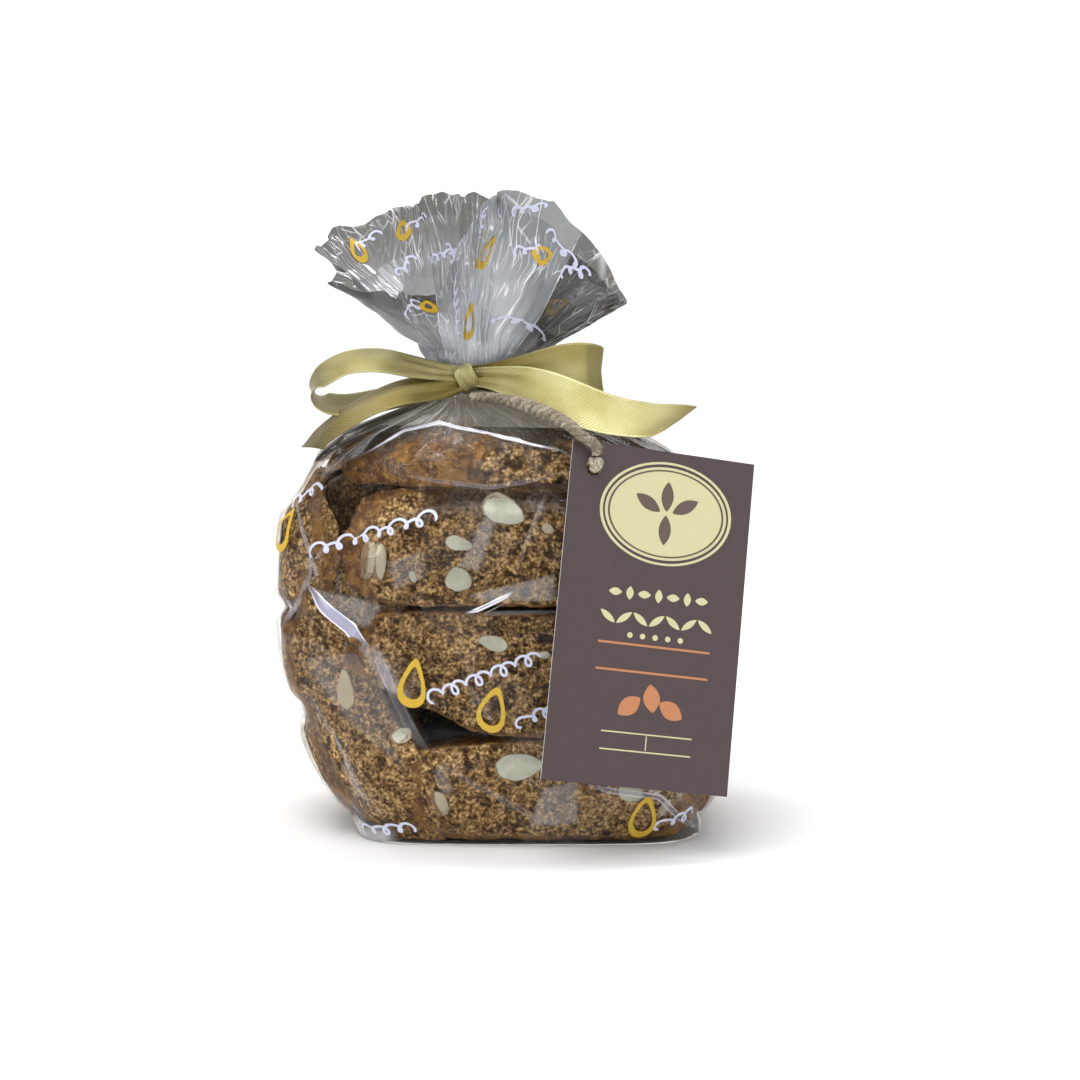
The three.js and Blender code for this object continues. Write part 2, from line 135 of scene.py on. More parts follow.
def node(tree, kind, settings, inputs, output=0):
    """Add one node: its settings first, then the values or links of its sockets."""
    new = tree.nodes.new(kind)
    for name, value in settings.items():
        setattr(new, name, value)
    for name, value in inputs.items():
        if isinstance(value, Socket):
            tree.links.new(value.link, new.inputs[name])
        elif isinstance(value, tuple) and len(value) == 3 and new.inputs[name].type == "RGBA":
            new.inputs[name].default_value = (*value, 1.0)
        else:
            new.inputs[name].default_value = value
    return Socket(tree, new.outputs[output])


def noise_on(tree, place, scale, detail=2, roughness=0.5, distortion=0.0, output=0):
    return node(tree, "ShaderNodeTexNoise", {}, {"Vector": place, "Scale": scale, "Detail": detail,
                                                 "Roughness": roughness, "Distortion": distortion}, output)


def blend_colours(tree, factor, first, second):
    factor_socket, first_socket, second_socket, result = 0, 6, 7, 2
    return node(tree, "ShaderNodeMix", {"data_type": "RGBA"},
                {factor_socket: factor, first_socket: first, second_socket: second}, result)


def scaled(tree, vector, scale, shift=(0, 0, 0)):
    return node(tree, "ShaderNodeVectorMath", {"operation": "MULTIPLY_ADD"},
                {0: vector, 1: scale, 2: shift})


def bump_from(tree, height, strength, distance):
    return node(tree, "ShaderNodeBump", {}, {"Strength": strength, "Distance": distance, "Height": height})


def new_material(name):
    material = bpy.data.materials.new(name)
    material.use_nodes = True
    material.node_tree.nodes.clear()
    return material, material.node_tree


def object_place(tree):
    return node(tree, "ShaderNodeTexCoord", {}, {}, "Object")


def attribute(tree, name):
    return node(tree, "ShaderNodeAttribute", {"attribute_name": name}, {}, "Fac")


def finish_material(tree, shader):
    output = tree.nodes.new("ShaderNodeOutputMaterial")
    tree.links.new(shader.link, output.inputs["Surface"])


def finish_plain(tree, tint, roughness, bump=None, metallic=0.0):
    """End a material that has no film in it: a tint, how rough it is, and its relief."""
    inputs = {"Base Color": tint, "Roughness": roughness, "Metallic": metallic}
    if bump:
        inputs["Normal"] = bump
    finish_material(tree, node(tree, "ShaderNodeBsdfPrincipled", {}, inputs))


def speckled_material(name, colour, grain, darkest, roughness):
    """One colour with a faint speckle: how many grains to the metre, and how dark the darkest is."""
    material, tree = new_material(name)
    speckle = noise_on(tree, object_place(tree), *grain)
    tint = blend_colours(tree, speckle, tuple(darkest * c for c in colour), colour)
    finish_plain(tree, tint, roughness)
    return material


def map_grid(columns, rows, place, joined=False):
    """A bmesh grid whose points are moved to place(u, v), with u and v from 0 to 1.

    Its UV map holds u and v. With joined, its two side edges become one seam.
    """
    mesh = bmesh.new()
    mesh.loops.layers.uv.new("UVMap")
    bmesh.ops.create_grid(mesh, x_segments=columns, y_segments=rows, size=0.5, calc_uvs=True)
    for vert in mesh.verts:
        vert.co = place(vert.co.x + 0.5, vert.co.y + 0.5)
    if joined:
        bmesh.ops.remove_doubles(mesh, verts=mesh.verts, dist=1e-7)
    return mesh


def add_piece(name, mesh, material):
    """Turn a bmesh into an object at the origin that rides with the pack."""
    data = bpy.data.meshes.new(name)
    mesh.to_mesh(data)
    mesh.free()
    for polygon in data.polygons:
        polygon.use_smooth = True
    piece = bpy.data.objects.new(name, data)
    bpy.context.scene.collection.objects.link(piece)
    data.materials.append(material)
    return piece


FLOOR_WIDTH = 4.0
FLOOR_FRONT = -2.0
FLOOR_FLAT = 0.9
FLOOR_BEND = 0.5
FLOOR_WALL = 1.6


def add_floor():
    flat = FLOOR_FLAT - FLOOR_FRONT
    bend = FLOOR_BEND * pi / 2
    total = flat + bend + FLOOR_WALL

    def place(u, v):
        along = v * total
        x = (u - 0.5) * FLOOR_WIDTH
        if along < flat:
            return Vector((x, FLOOR_FRONT + along, 0))
        turn = min((along - flat) / FLOOR_BEND, pi / 2)
        rise = max(along - flat - bend, 0)
        back, up = FLOOR_BEND * sin(turn), FLOOR_BEND * (1 - cos(turn))
        return Vector((x, FLOOR_FLAT + back, up + rise))

    pale = speckled_material("pale sheet", (0.9, 0.895, 0.89), (6,), 0.97, 0.9)
    floor = add_piece("floor", map_grid(2, 90, place), pale)


add_camera()
add_area_light("key", (-0.3, -0.42, 1.5), (0, 0, 0.08), (1.3, 0.9), 17)
add_area_light("fill_right", (1.1, -1.1, 0.7), (0, 0, 0.08), (1.4, 1.4), 4.2)
add_area_light("fill_left", (-1.0, -1.2, 0.6), (0, 0, 0.08), (1.4, 1.4), 3.6)
add_area_light("wall_wash", (0, 0.3, 1.9), (0, 1.4, 0.7), (2.0, 0.3), 26)
for i, (side, height, wide, tall, power) in enumerate(STRIPS):
    turn = radians(side)
    place = (STRIPS_AWAY * sin(turn), -STRIPS_AWAY * cos(turn), height)
    add_area_light(f"strip_{i}", place, (0, 0, 0.1), (wide, tall), power)
world = bpy.data.worlds.new("room")
world.use_nodes = True
sky = world.node_tree.nodes["Background"].inputs
sky["Color"].default_value = (*ROOM_COLOUR, 1.0)
sky["Strength"].default_value = ROOM_STRENGTH
bpy.context.scene.world = world
bpy.context.scene.view_settings.view_transform = "Standard"
bpy.context.scene.cycles.transparent_max_bounces = 24
bpy.context.scene.cycles.max_bounces = 8
add_floor()

# ---- twine ------------------------------------------------------------------------------
# Three plies of jute, laid round each other, come out from under the knot of the bow, lie
# over the shoulder of the bag and drop to the hole in the card, where a hard knot stops them.
TWINE_PITCH = 6.5
TWINE_PLY = 0.68  # radius of one ply
TWINE_SPREAD = 0.68  # from the middle of the twine to the middle of a ply
TWINE_SWELL = 0.38  # how much fatter it is where it has worked loose
TWINE_LOOSE_AT, TWINE_LOOSE_FOR = 0.52, 0.24  # where that is, as shares of its length
TWINE_FACES = Vector((0, -1, 0.2))
TWINE_REACH = 1.22  # from the middle of the twine to where its loose fibres lie
TWINE_ROUTE = [
    (-11.4, -14.2, 120.6), (-8.2, -16.8, 120.8), (-4.6, -20.0, 120.6), (-1.2, -23.0, 120.0),
    (2.2, -26.0, 119.3), (5.6, -29.0, 118.2), (8.8, -31.8, 117.0), (12.0, -34.6, 115.6),
    (15.0, -37.2, 113.9), (17.6, -39.2, 111.6),
]
TWINE_TO_HOLE = [(-0.9, 5.4, 2.6), (0, 3.0, 1.9)]  # right of the hole, above it, out from the card
TAG_SIZE = (51.0, 89.0, 0.5)
TAG_TURN = radians(15.5)
TAG_LEAN = radians(11.2)
TAG_ROLL = radians(8.8)
TAG_HOLE = (6.3, 6.8, 2.2)  # from the left edge, from the top edge, radius
TAG_FRAME = (Matrix.Rotation(TAG_TURN, 3, "Z") @ Matrix.Rotation(pi / 2 - TAG_LEAN, 3, "X")
             @ Matrix.Rotation(-TAG_ROLL, 3, "Z"))


def on_card(right, up, out=0.0):
    """A point by the card's middle: to its right, above it, and out from its middle plane."""
    return (tag_low + tag_high) / 2 + TAG_FRAME @ Vector((right, up, out)) * MM


def by_hole(right, above, out):
    return on_card(TAG_HOLE[0] - TAG_SIZE[0] / 2 + right, TAG_SIZE[1] / 2 - TAG_HOLE[1] + above, out)


def spline(points, t):
    """A point of a smooth curve through points, t from 0 to 1."""
    place = min(max(t, 0.0), 1.0) * (len(points) - 1)
    i = min(int(place), len(points) - 2)
    f = place - i
    low, high = points[i], points[i + 1]
    before = points[i - 1] if i > 0 else low * 2 - high
    after = points[i + 2] if i < len(points) - 2 else high * 2 - low
    return 0.5 * (2 * low + (high - before) * f + (2 * before - 5 * low + 4 * high - after) * f * f
                  + (3 * low - before - 3 * high + after) * f ** 3)


def spline_frame(points, t, up):
    """The point, the way along, and two ways across a curve."""
    along = (spline(points, t + 0.005) - spline(points, t - 0.005)).normalized()
    side = along.cross(up).normalized()
    return spline(points, t), along, side, side.cross(along)


def spline_length(points):
    steps = 400
    places = [spline(points, i / steps) for i in range(steps + 1)]
    return sum((b - a).length for a, b in zip(places, places[1:]))


twine_route = [at(*place) for place in TWINE_ROUTE] + [by_hole(*place) for place in TWINE_TO_HOLE]
twine_length = spline_length(twine_route)


def twine_swelling(v):
    return 1 + TWINE_SWELL * exp(-((v - TWINE_LOOSE_AT) / TWINE_LOOSE_FOR) ** 2)


def twine_ply(turn):
    def place(u, v):
        point, _, side, rise = spline_frame(twine_route, v, TWINE_FACES)
        lay = turn + 2 * pi * v * twine_length / (TWINE_PITCH * MM)
        round_ply = 2 * pi * u
        out = side * cos(lay) + rise * sin(lay)
        over = side * cos(round_ply) + rise * sin(round_ply)
        frayed = (1 + 0.12 * sin(9 * round_ply + 150 * v + turn)
                  + 0.1 * sin(5 * round_ply - 90 * v))
        return point + (out * TWINE_SPREAD + over * TWINE_PLY * frayed) * twine_swelling(v) * MM

    return map_grid(20, 220, place, joined=True)


def join_meshes(meshes):
    joined = bmesh.new()
    for mesh in meshes:
        data = bpy.data.meshes.new("part")
        mesh.to_mesh(data)
        mesh.free()
        joined.from_mesh(data)
        bpy.data.meshes.remove(data)
    return joined


def jute_material():
    material, tree = new_material("jute")
    place = object_place(tree)
    fibre = noise_on(tree, place, 1500, 5)
    patch = noise_on(tree, place, 260, 2)
    tint = blend_colours(tree, patch.between(0.35, 0.65), (0.4, 0.34, 0.25), (0.62, 0.56, 0.44))
    tint = blend_colours(tree, fibre.between(0.3, 0.62), (0.22, 0.17, 0.11), tint)
    bump = bump_from(tree, fibre, 0.6, 0.0003)
    finish_plain(tree, tint, 0.9, bump)
    return material


def fuzz_mesh(count, seed):
    """Loose fibres: each lies along the plies for a few millimetres and lifts off at its ends."""
    draw = random.Random(seed)
    hairs = []
    for _ in range(count):
        start, length = draw.uniform(0.01, 0.9), draw.uniform(2.5, 8.0)
        turn, twist = draw.uniform(0, 2 * pi), draw.uniform(0.4, 1.3)
        lift, lift_end = draw.uniform(0.0, 0.5), draw.uniform(0.1, 1.8) ** 1.6
        swing, thick = draw.uniform(-0.8, 0.8), draw.uniform(0.035, 0.07)

        def place(u, v):
            along = min(start + v * length * MM / twine_length, 0.985)
            point, way, side, rise = spline_frame(twine_route, along, TWINE_FACES)
            lay = turn + 2 * pi * (along - start) * twine_length / (TWINE_PITCH * MM) * twist
            out = side * cos(lay) + rise * sin(lay)
            far = TWINE_REACH * twine_swelling(along) + lift * 0.3 + lift_end * v ** 3
            across = way.cross(out)
            return point + (out * far + across * (swing * v * v + (2 * u - 1) * thick * (1.1 - v))) * MM

        hairs.append(map_grid(1, 7, place))
    return join_meshes(hairs)


KNOT_TURNS = 0.46  # size of the trefoil that the knot follows
KNOT_CORD = 0.9
KNOT_OFF_HOLE = (0, 0.6, 1.8)


def knot_mesh():
    """The hard knot at the hole: the twine drawn tight in a trefoil."""
    def middle_at(v):
        turn = 2 * pi * v
        trefoil = Vector((sin(turn) + 2 * sin(2 * turn), cos(turn) - 2 * cos(2 * turn),
                          -1.3 * sin(3 * turn)))
        return TAG_FRAME @ trefoil * KNOT_TURNS

    def place(u, v):
        along = (middle_at(v + 0.003) - middle_at(v - 0.003)).normalized()
        side = along.cross(middle_at(v)).normalized()
        turn = 2 * pi * u
        ply = 1 + 0.14 * cos(3 * turn + 2 * pi * 9 * v)
        out = side * cos(turn) + side.cross(along) * sin(turn)
        return by_hole(*KNOT_OFF_HOLE) + (middle_at(v) + out * KNOT_CORD * ply) * MM

    mesh = map_grid(18, 120, place, joined=True)
    bmesh.ops.recalc_face_normals(mesh, faces=mesh.faces)
    return mesh


jute = jute_material()
twine = add_piece("twine_plies", join_meshes([twine_ply(i * 2 * pi / 3) for i in range(3)]), jute)
twine_fuzz = add_piece("twine_fibres", fuzz_mesh(1100, 4), jute)
twine_knot = add_piece("twine_stop_knot", knot_mesh(), jute)
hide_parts("twine")
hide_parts("twine_knot")
for part in (twine, twine_fuzz, twine_knot):
    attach(part, "root")
tuple(twine_route[0])
[tuple(p) for p in twine_route]

# ---- film -------------------------------------------------------------------------------
# One crisp clear film: a flat base, a body that the biscuits fill, pleats over the shoulder
# into the tied neck, and an open crumpled flare above it. It is made in two sheets, below
# and above the tie, from nearly the same sizes as the solid bag.
BODY = [  # height, reach left, reach right, half depth, squareness of the corners
    (0, -44.0, 52.5, 33.0, 5.0), (18, -56.0, 58.0, 36.5, 4.0), (33, -61.5, 61.0, 38.5, 3.4),
    (48, -65.8, 62.5, 39.5, 3.2), (66, -66.7, 63.0, 39.5, 3.2), (84, -65.6, 61.0, 38.0, 3.2),
    (95, -61.5, 56.0, 36.0, 3.2), (104, -55.5, 46.0, 33.0, 3.0), (110, -47.0, 34.0, 28.0, 2.8),
    (115, -37.0, 19.0, 20.5, 2.4), (119, -27.5, 3.5, 13.0, 2.1), (122, -21.2, -4.8, 7.8, 2.0),
]
PRESSED = [  # side, middle across, middle up, length, height, lean in degrees
    ("front", 1, 102.5, 88, 14.5, -1), ("front", 6, 78, 95, 32, 0), ("front", 4, 44, 90, 31, -4),
    ("front", -47, 28, 50, 26, -58), ("front", 12, 13, 80, 24, 0), ("left", 2, 79, 60, 30, 4),
    ("left", -2, 48, 56, 26, -6), ("left", 0, 18, 50, 28, 0), ("right", -2, 80, 58, 30, -3),
    ("right", 2, 47, 60, 28, 3), ("right", 0, 17, 50, 26, 0), ("back", -5, 100, 84, 17, 2),
    ("back", 2, 76, 100, 28, 0), ("back", -4, 45, 96, 30, 3), ("back", 4, 14, 84, 26, 0),
]
PRESS_DEPTH, PRESS_SETTLE = 2.2, 1.3
NECK = {"x": -13, "y": -0.5, "radius": 7.2, "bottom": 122, "top": 129}
RIM = [  # angle round the neck, reach, height
    (0, 45.5, 147), (14, 40, 154), (34, 35, 166), (60, 25, 177), (90, 21, 180), (120, 24, 179),
    (145, 33, 174), (164, 39, 168), (180, 41, 162), (196, 38, 154), (222, 29, 149), (248, 21, 149),
    (264, 19, 161), (284, 19, 173), (306, 21, 178), (326, 28, 174), (341, 36.5, 167), (352, 41.5, 154),
]
FLARE_SPREAD = 0.72  # how early the flare spreads on its way up
FLARE_BELOW = -0.14  # how far its sheet goes on under the tie, as a share of its height
FILM_BASE = 0.15  # the base of the film lies this far over the floor
GATHERED_FROM, GATHERED_WHOLE = 98, 112  # heights where the pleats of the shoulder start and are whole
BODY_GRID, FLARE_GRID = (340, 240), (520, 180)  # columns and rows of the two sheets


def rough(*place):
    """Smooth noise, from about -1 to 1, at three coordinates."""
    return noise.noise(Vector(place))


def smooth_step(low, high, value):
    t = min(max((value - low) / (high - low), 0.0), 1.0)
    return t * t * (3 - 2 * t)


def smooth_at(rows, column, key):
    """Smooth value of one column, through rows sorted by their first value."""
    i = 0
    while i < len(rows) - 2 and key > rows[i + 1][0]:
        i += 1
    low, high = rows[i], rows[i + 1]
    span = high[0] - low[0]

    def slope(a, b):
        return (b[column] - a[column]) / (b[0] - a[0])

    def tangent(a, b):
        return 2 * a * b / (a + b) if a * b > 0 else 0.0

    middle = slope(low, high)
    before = slope(rows[i - 1], low) if i > 0 else middle
    after = slope(high, rows[i + 2]) if i < len(rows) - 2 else middle
    t = min(max((key - low[0]) / span, 0.0), 1.0)
    return (low[column] * (2 * t ** 3 - 3 * t * t + 1)
            + tangent(before, middle) * span * (t ** 3 - 2 * t * t + t)
            + high[column] * (3 * t * t - 2 * t ** 3)
            + tangent(middle, after) * span * (t ** 3 - t * t))


HEIGHT_STEP = 0.25
body_rows = [[smooth_at(BODY, column, i * HEIGHT_STEP) for column in range(1, 5)]
             for i in range(int(BODY[-1][0] / HEIGHT_STEP) + 2)]


def body_size(z):
    """Middle, half width, half depth and squareness of the body at one height."""
    place = min(max(z, 0.0), BODY[-1][0]) / HEIGHT_STEP
    i = int(place)
    f = place - i
    left, right, depth, corner = (a + (b - a) * f for a, b in zip(body_rows[i], body_rows[i + 1]))
    return (left + right) / 2, (right - left) / 2, depth, corner


def pressed_out(side, across, up):
    push = 0.0
    for face, middle, height, length, tall, lean in PRESSED:
        if face != side:
            continue
        turn = radians(lean)
        right, rise = across - middle, up - height
        along = (right * cos(turn) + rise * sin(turn)) / (length / 2)
        over = (rise * cos(turn) - right * sin(turn)) / (tall / 2)
        push = max(push, 1 - smooth_step(0.74, 1.12, (along ** 4 + over ** 4) ** 0.25))
    return push * PRESS_DEPTH


def press_at(x, y, z, across, deep):
    """How far a biscuit presses the film out at a point; across and deep are shares of the reach."""
    ahead = smooth_step(0.78, 0.98, deep)
    beside = smooth_step(0.78, 0.98, across)
    return (ahead * pressed_out("front" if y < 0 else "back", x, z)
            + beside * (1 - ahead) * pressed_out("left" if x < 0 else "right", y, z))


FOLDS = [  # crisp folds on the front: points, half width, rise, shine (partly the creased film's whitening, partly painted highlight), width of the painted reflection band beside the fold
    (((-54.7, 70.5), (-47, 64.5), (-42.2, 61), (-38.9, 55.6)), 3.6, 1.6, 1.0, 3.6),
    (((-12, 65), (0, 70.5)), 2.6, 0.9, 0.9, 0.8), (((-12, 65), (13, 65.5)), 2.2, 0.7, 0.12, 0.8),
    (((9, 96), (1.5, 77)), 3.0, 0.8, 0.1, 0.8), (((-37, 58), (-21, 23)), 3.2, 1.2, 0.15, 2.5),
    (((-60, 96), (-48, 62)), 3.0, 0.9, 0.2, 0.8),
    (((-40, 106), (-29.6, 112.4), (-20, 114.4), (-4, 111), (13, 107)), 3.0, 1.3, 1.0, 0.5),
    (((-58, 44), (-34, 6)), 2.6, 0.8, 0.1, 1.5), (((-22, 26), (12, 6)), 3.2, 0.8, 0.1, 1.5),
    (((30, 26), (50, 3)), 4.0, 1.2, 0.3, 1.5), (((20, 18), (46, 14)), 3.0, 0.8, 0.3, 1.5),
    (((-62, 60), (-50, 84)), 2.4, 0.8, 0.15, 0.8), (((28, 104), (50, 88)), 3.0, 1.0, 0.4, 1.0),
    (((-14, 50), (-2, 30)), 2.4, 0.5, 0.08, 0.8),
    (((-30, 101), (-6, 98), (12, 101)), 2.2, 0.5, 0.12, 0.8),
]
REFLECTION_PATCHES = [  # painted reflections on flat facets of the front: how strong, below 0 for a clear one, and their corners
    (0.9, ((-7, 91), (-4, 90), (-9, 76), (-14, 77))),
    (0.9, ((-18, 68), (11, 75), (11, 66), (2, 65), (-7, 68))),
    (0.6, ((-33, 78), (-24, 81), (-24, 74), (-31, 71))),
    (0.8, ((-54, 70), (-42, 68), (-35, 66), (-39, 60), (-51, 66))),
    (1.0, ((-42, 56), (-35, 54), (-27, 41), (-35, 45))),
    (0.45, ((-56, 51), (-42, 53), (-35, 45), (-28, 34), (-28, 16), (-35, 23), (-44, 34), (-54, 42))),
    (0.6, ((-23, 26), (-20, 27), (-16, 16), (-19, 15))), (0.9, ((8, 17), (17, 19), (17, 7), (4, 6))),
    (-1.0, ((-28, 42), (-7, 36), (1, 34), (-3, 29), (-18, 29), (-22, 29))),
]
FACETS_ROUND, FINE_FACETS_ROUND = 24, 66  # flat facets counted round the bag
TUCKS_ROUND, FINE_TUCKS_ROUND = 19, 43  # small pleats of the shoulder


def reflection_patches_at(across, up):
    """How strongly the front of the film shows a painted reflection at a point."""
    painted_reflection = 0.0
    for amount, corners in REFLECTION_PATCHES:
        # The corners run clockwise, so the inside lies to the right of each edge.
        inside = 99.0
        for (x0, z0), (x1, z1) in zip(corners, corners[1:] + corners[:1]):
            dx, dz = x1 - x0, z1 - z0
            inside = min(inside, ((across - x0) * dz - (up - z0) * dx) / hypot(dx, dz))
        painted_reflection += amount * smooth_step(-0.4, 0.5, inside)
    return painted_reflection


def facets(across, up, around, seed):
    """Crumple: flat triangles between random heights from 0 to 1, on a grid that closes round."""
    i, j = floor(across), floor(up)
    u, v = across - i, up - j

    def height(right, above):
        return noise.cell(Vector(((i + right) % around + 0.5, j + above + 0.5, seed + 0.5)))

    if height(0.2, 0.2) > 0.5:
        corner, first, second = height(0, 0), height(1, 0), height(1, 1)
        if u > v:
            return corner + (first - corner) * u + (second - first) * v
        first = height(0, 1)
        return corner + (first - corner) * v + (second - first) * u
    first, second = height(1, 0), height(0, 1)
    if u + v < 1:
        corner = height(0, 0)
        return corner + (first - corner) * u + (second - corner) * v
    corner = height(1, 1)
    return corner + (second - corner) * (1 - u) + (first - corner) * (1 - v)


def zigzag(x):
    """From -1 to 1 and back in straight lines, once for each 1 of x."""
    return 4 * abs(x - floor(x + 0.5)) - 1


def folds_at(across, up):
    """Each fold at a point of the front: off its ridge, off the far edge of its painted reflection band,
    its height and shine.
    """
    for points, half, rise, shine, sheet in FOLDS:
        nearest = None
        for i, ((x0, z0), (x1, z1)) in enumerate(zip(points, points[1:])):
            dx, dz = x1 - x0, z1 - z0
            length = hypot(dx, dz)
            along = ((across - x0) * dx + (up - z0) * dz) / length / length
            aside = ((across - x0) * dz - (up - z0) * dx) / length
            on_it = min(max(along, 0.0), 1.0)
            away = hypot(across - x0 - on_it * dx, up - z0 - on_it * dz)
            if nearest is None or away < nearest[0]:
                before = along if i == 0 else on_it
                after = along if i == len(points) - 2 else on_it
                inner = before if along < 0.5 else after
                if inner == on_it:
                    aside = copysign(away, aside)
                nearest = away, (i + inner) / (len(points) - 1), aside
        _, along, aside = nearest
        taper = smooth_step(-0.1, 0.25, along) * (1 - smooth_step(0.75, 1.1, along))
        height = taper * max(0.0, 1 - abs(aside) / (half * (0.3 + 0.7 * taper)))
        bright = shine * taper * (1 - smooth_step(sheet + 0.5, sheet + 1.5, abs(aside)))
        yield aside, aside - sheet * taper, rise * height, bright


def body_point(angle, z):
    """A point of the film below the tie, in millimetres from the plumb line."""
    middle, half_width, half_depth, corner = body_size(z)
    c, s = cos(angle), sin(angle)
    reach = (abs(c) ** corner + abs(s) ** corner) ** (-1 / corner)
    gathered = smooth_step(GATHERED_FROM, GATHERED_WHOLE, z)
    wave = sin(13 * angle) + 0.5 * sin(26 * angle + 0.2 * z)
    pleat = 1 + gathered * 0.045 * wave
    x, y = middle + half_width * reach * c * pleat, half_depth * reach * s * pleat
    push = press_at(x, y, z, abs(c) * reach, abs(s) * reach)
    out = (push - PRESS_SETTLE) * (1 - gathered) * smooth_step(-1, 6, z)
    slack = 1 - 0.6 * push / PRESS_DEPTH
    turn = angle / (2 * pi)
    sway = rough(2.5 * c, 2.5 * s, z / 22)
    drift = rough(2.5 * c, 2.5 * s + 9, z / 22)
    large = facets(turn * FACETS_ROUND + 0.8 * sway, z / 14 + 0.8 * drift, FACETS_ROUND, 1)
    small = facets(turn * FINE_FACETS_ROUND + 1.2 * drift, z / 5 + 1.2 * sway, FINE_FACETS_ROUND, 2)
    crumple = (large - 0.5) * 1.7 * slack + (small - 0.5) * (0.35 + 0.9 * gathered) * slack
    tucks = gathered * (0.9 * zigzag(TUCKS_ROUND * turn + 0.7 * sway)
                        + 0.55 * zigzag(FINE_TUCKS_ROUND * turn + 0.9 * drift))
    out += smooth_step(2, 14, z) * (crumple + 0.35) + tucks * smooth_step(3, 24, half_width)
    if s < -0.2:
        out += sum(fold[2] for fold in folds_at(x, z))
    return Vector((x + out * c, y + out * s, z))


def pleat_wave(angle, t):
    return (0.5 * sin(9 * angle + 0.8) + 0.35 * sin(14 * angle + 2.4 + 1.5 * t)
            + 0.25 * sin(5 * angle + 4 * t))


PLEATS_ROUND = 13  # crisp pleats counted round the flare
FLARE_TUCKS_ROUND = 47  # small pleats, strongest at the neck
FLARE_FACETS_ROUND, FLARE_FINE_FACETS_ROUND = 15, 44
RAGS_ROUND = 60  # uneven bits of the rim


def pleat_phase(angle, t):
    """Which pleat of the flare a point lies on, and where in it."""
    sway = rough(1.2 * cos(angle), 1.2 * sin(angle), 0.9 * t)
    return PLEATS_ROUND * angle / (2 * pi) + 0.5 * sway


rim_rows = ([(RIM[-1][0] - 360, *RIM[-1][1:])] + RIM
            + [(RIM[0][0] + 360, *RIM[0][1:]), (RIM[1][0] + 360, *RIM[1][1:])])


def flare_point(angle, t):
    """A point of the film above the tie: t is 0 at the neck and 1 at the rim."""
    bearing = degrees(angle) % 360
    rim_reach, rim_height = smooth_at(rim_rows, 1, bearing), smooth_at(rim_rows, 2, bearing)
    spread = NECK["radius"] + (rim_reach - NECK["radius"]) * max(t, 0.0) ** FLARE_SPREAD
    reach = spread + 2.1 * t * pleat_wave(angle, t)
    c, s = cos(angle), sin(angle)
    turn = angle / (2 * pi)
    sway = rough(2 * c, 2 * s, 2.5 * t)
    drift = rough(2 * c, 2 * s + 9, 2.5 * t)
    smooth_side = exp(-(((bearing + 40) % 360 - 32) / 26) ** 2)
    large = facets(turn * FLARE_FACETS_ROUND + 0.9 * sway, t * 4.2 + 0.8 * drift, FLARE_FACETS_ROUND, 3)
    small = facets(turn * FLARE_FINE_FACETS_ROUND + 1.4 * drift, t * 12 + 1.4 * sway,
                   FLARE_FINE_FACETS_ROUND, 4)
    tucks = (2.3 * t * zigzag(pleat_phase(angle, t))
             + 0.5 * zigzag(FLARE_TUCKS_ROUND * turn + 0.8 * drift) * (1 - 0.8 * t))
    crumple = (large - 0.5) * 3.8 + (small - 0.5) * 0.4 + tucks
    ragged = 1.6 * (facets(turn * RAGS_ROUND + 2 * sway, 0.5, RAGS_ROUND, 5) - 0.5) * smooth_step(0.8, 1, t)
    out = (smooth_step(0.0, 0.22, t) * crumple * (1 - 0.75 * smooth_side)
           + 0.3 * zigzag(FLARE_TUCKS_ROUND * turn) * (1 - t))
    z = NECK["top"] + (rim_height - NECK["top"]) * t + ragged
    return Vector((NECK["x"] + (reach + out) * c, NECK["y"] + (reach + out) * s, z))


FILM_MARKS = ("veil_and_painted_light", "fold_aside", "fold_far", "fold_whitening_and_painted_shine")
NO_FOLD = (9.0, 9.0, 0.0)


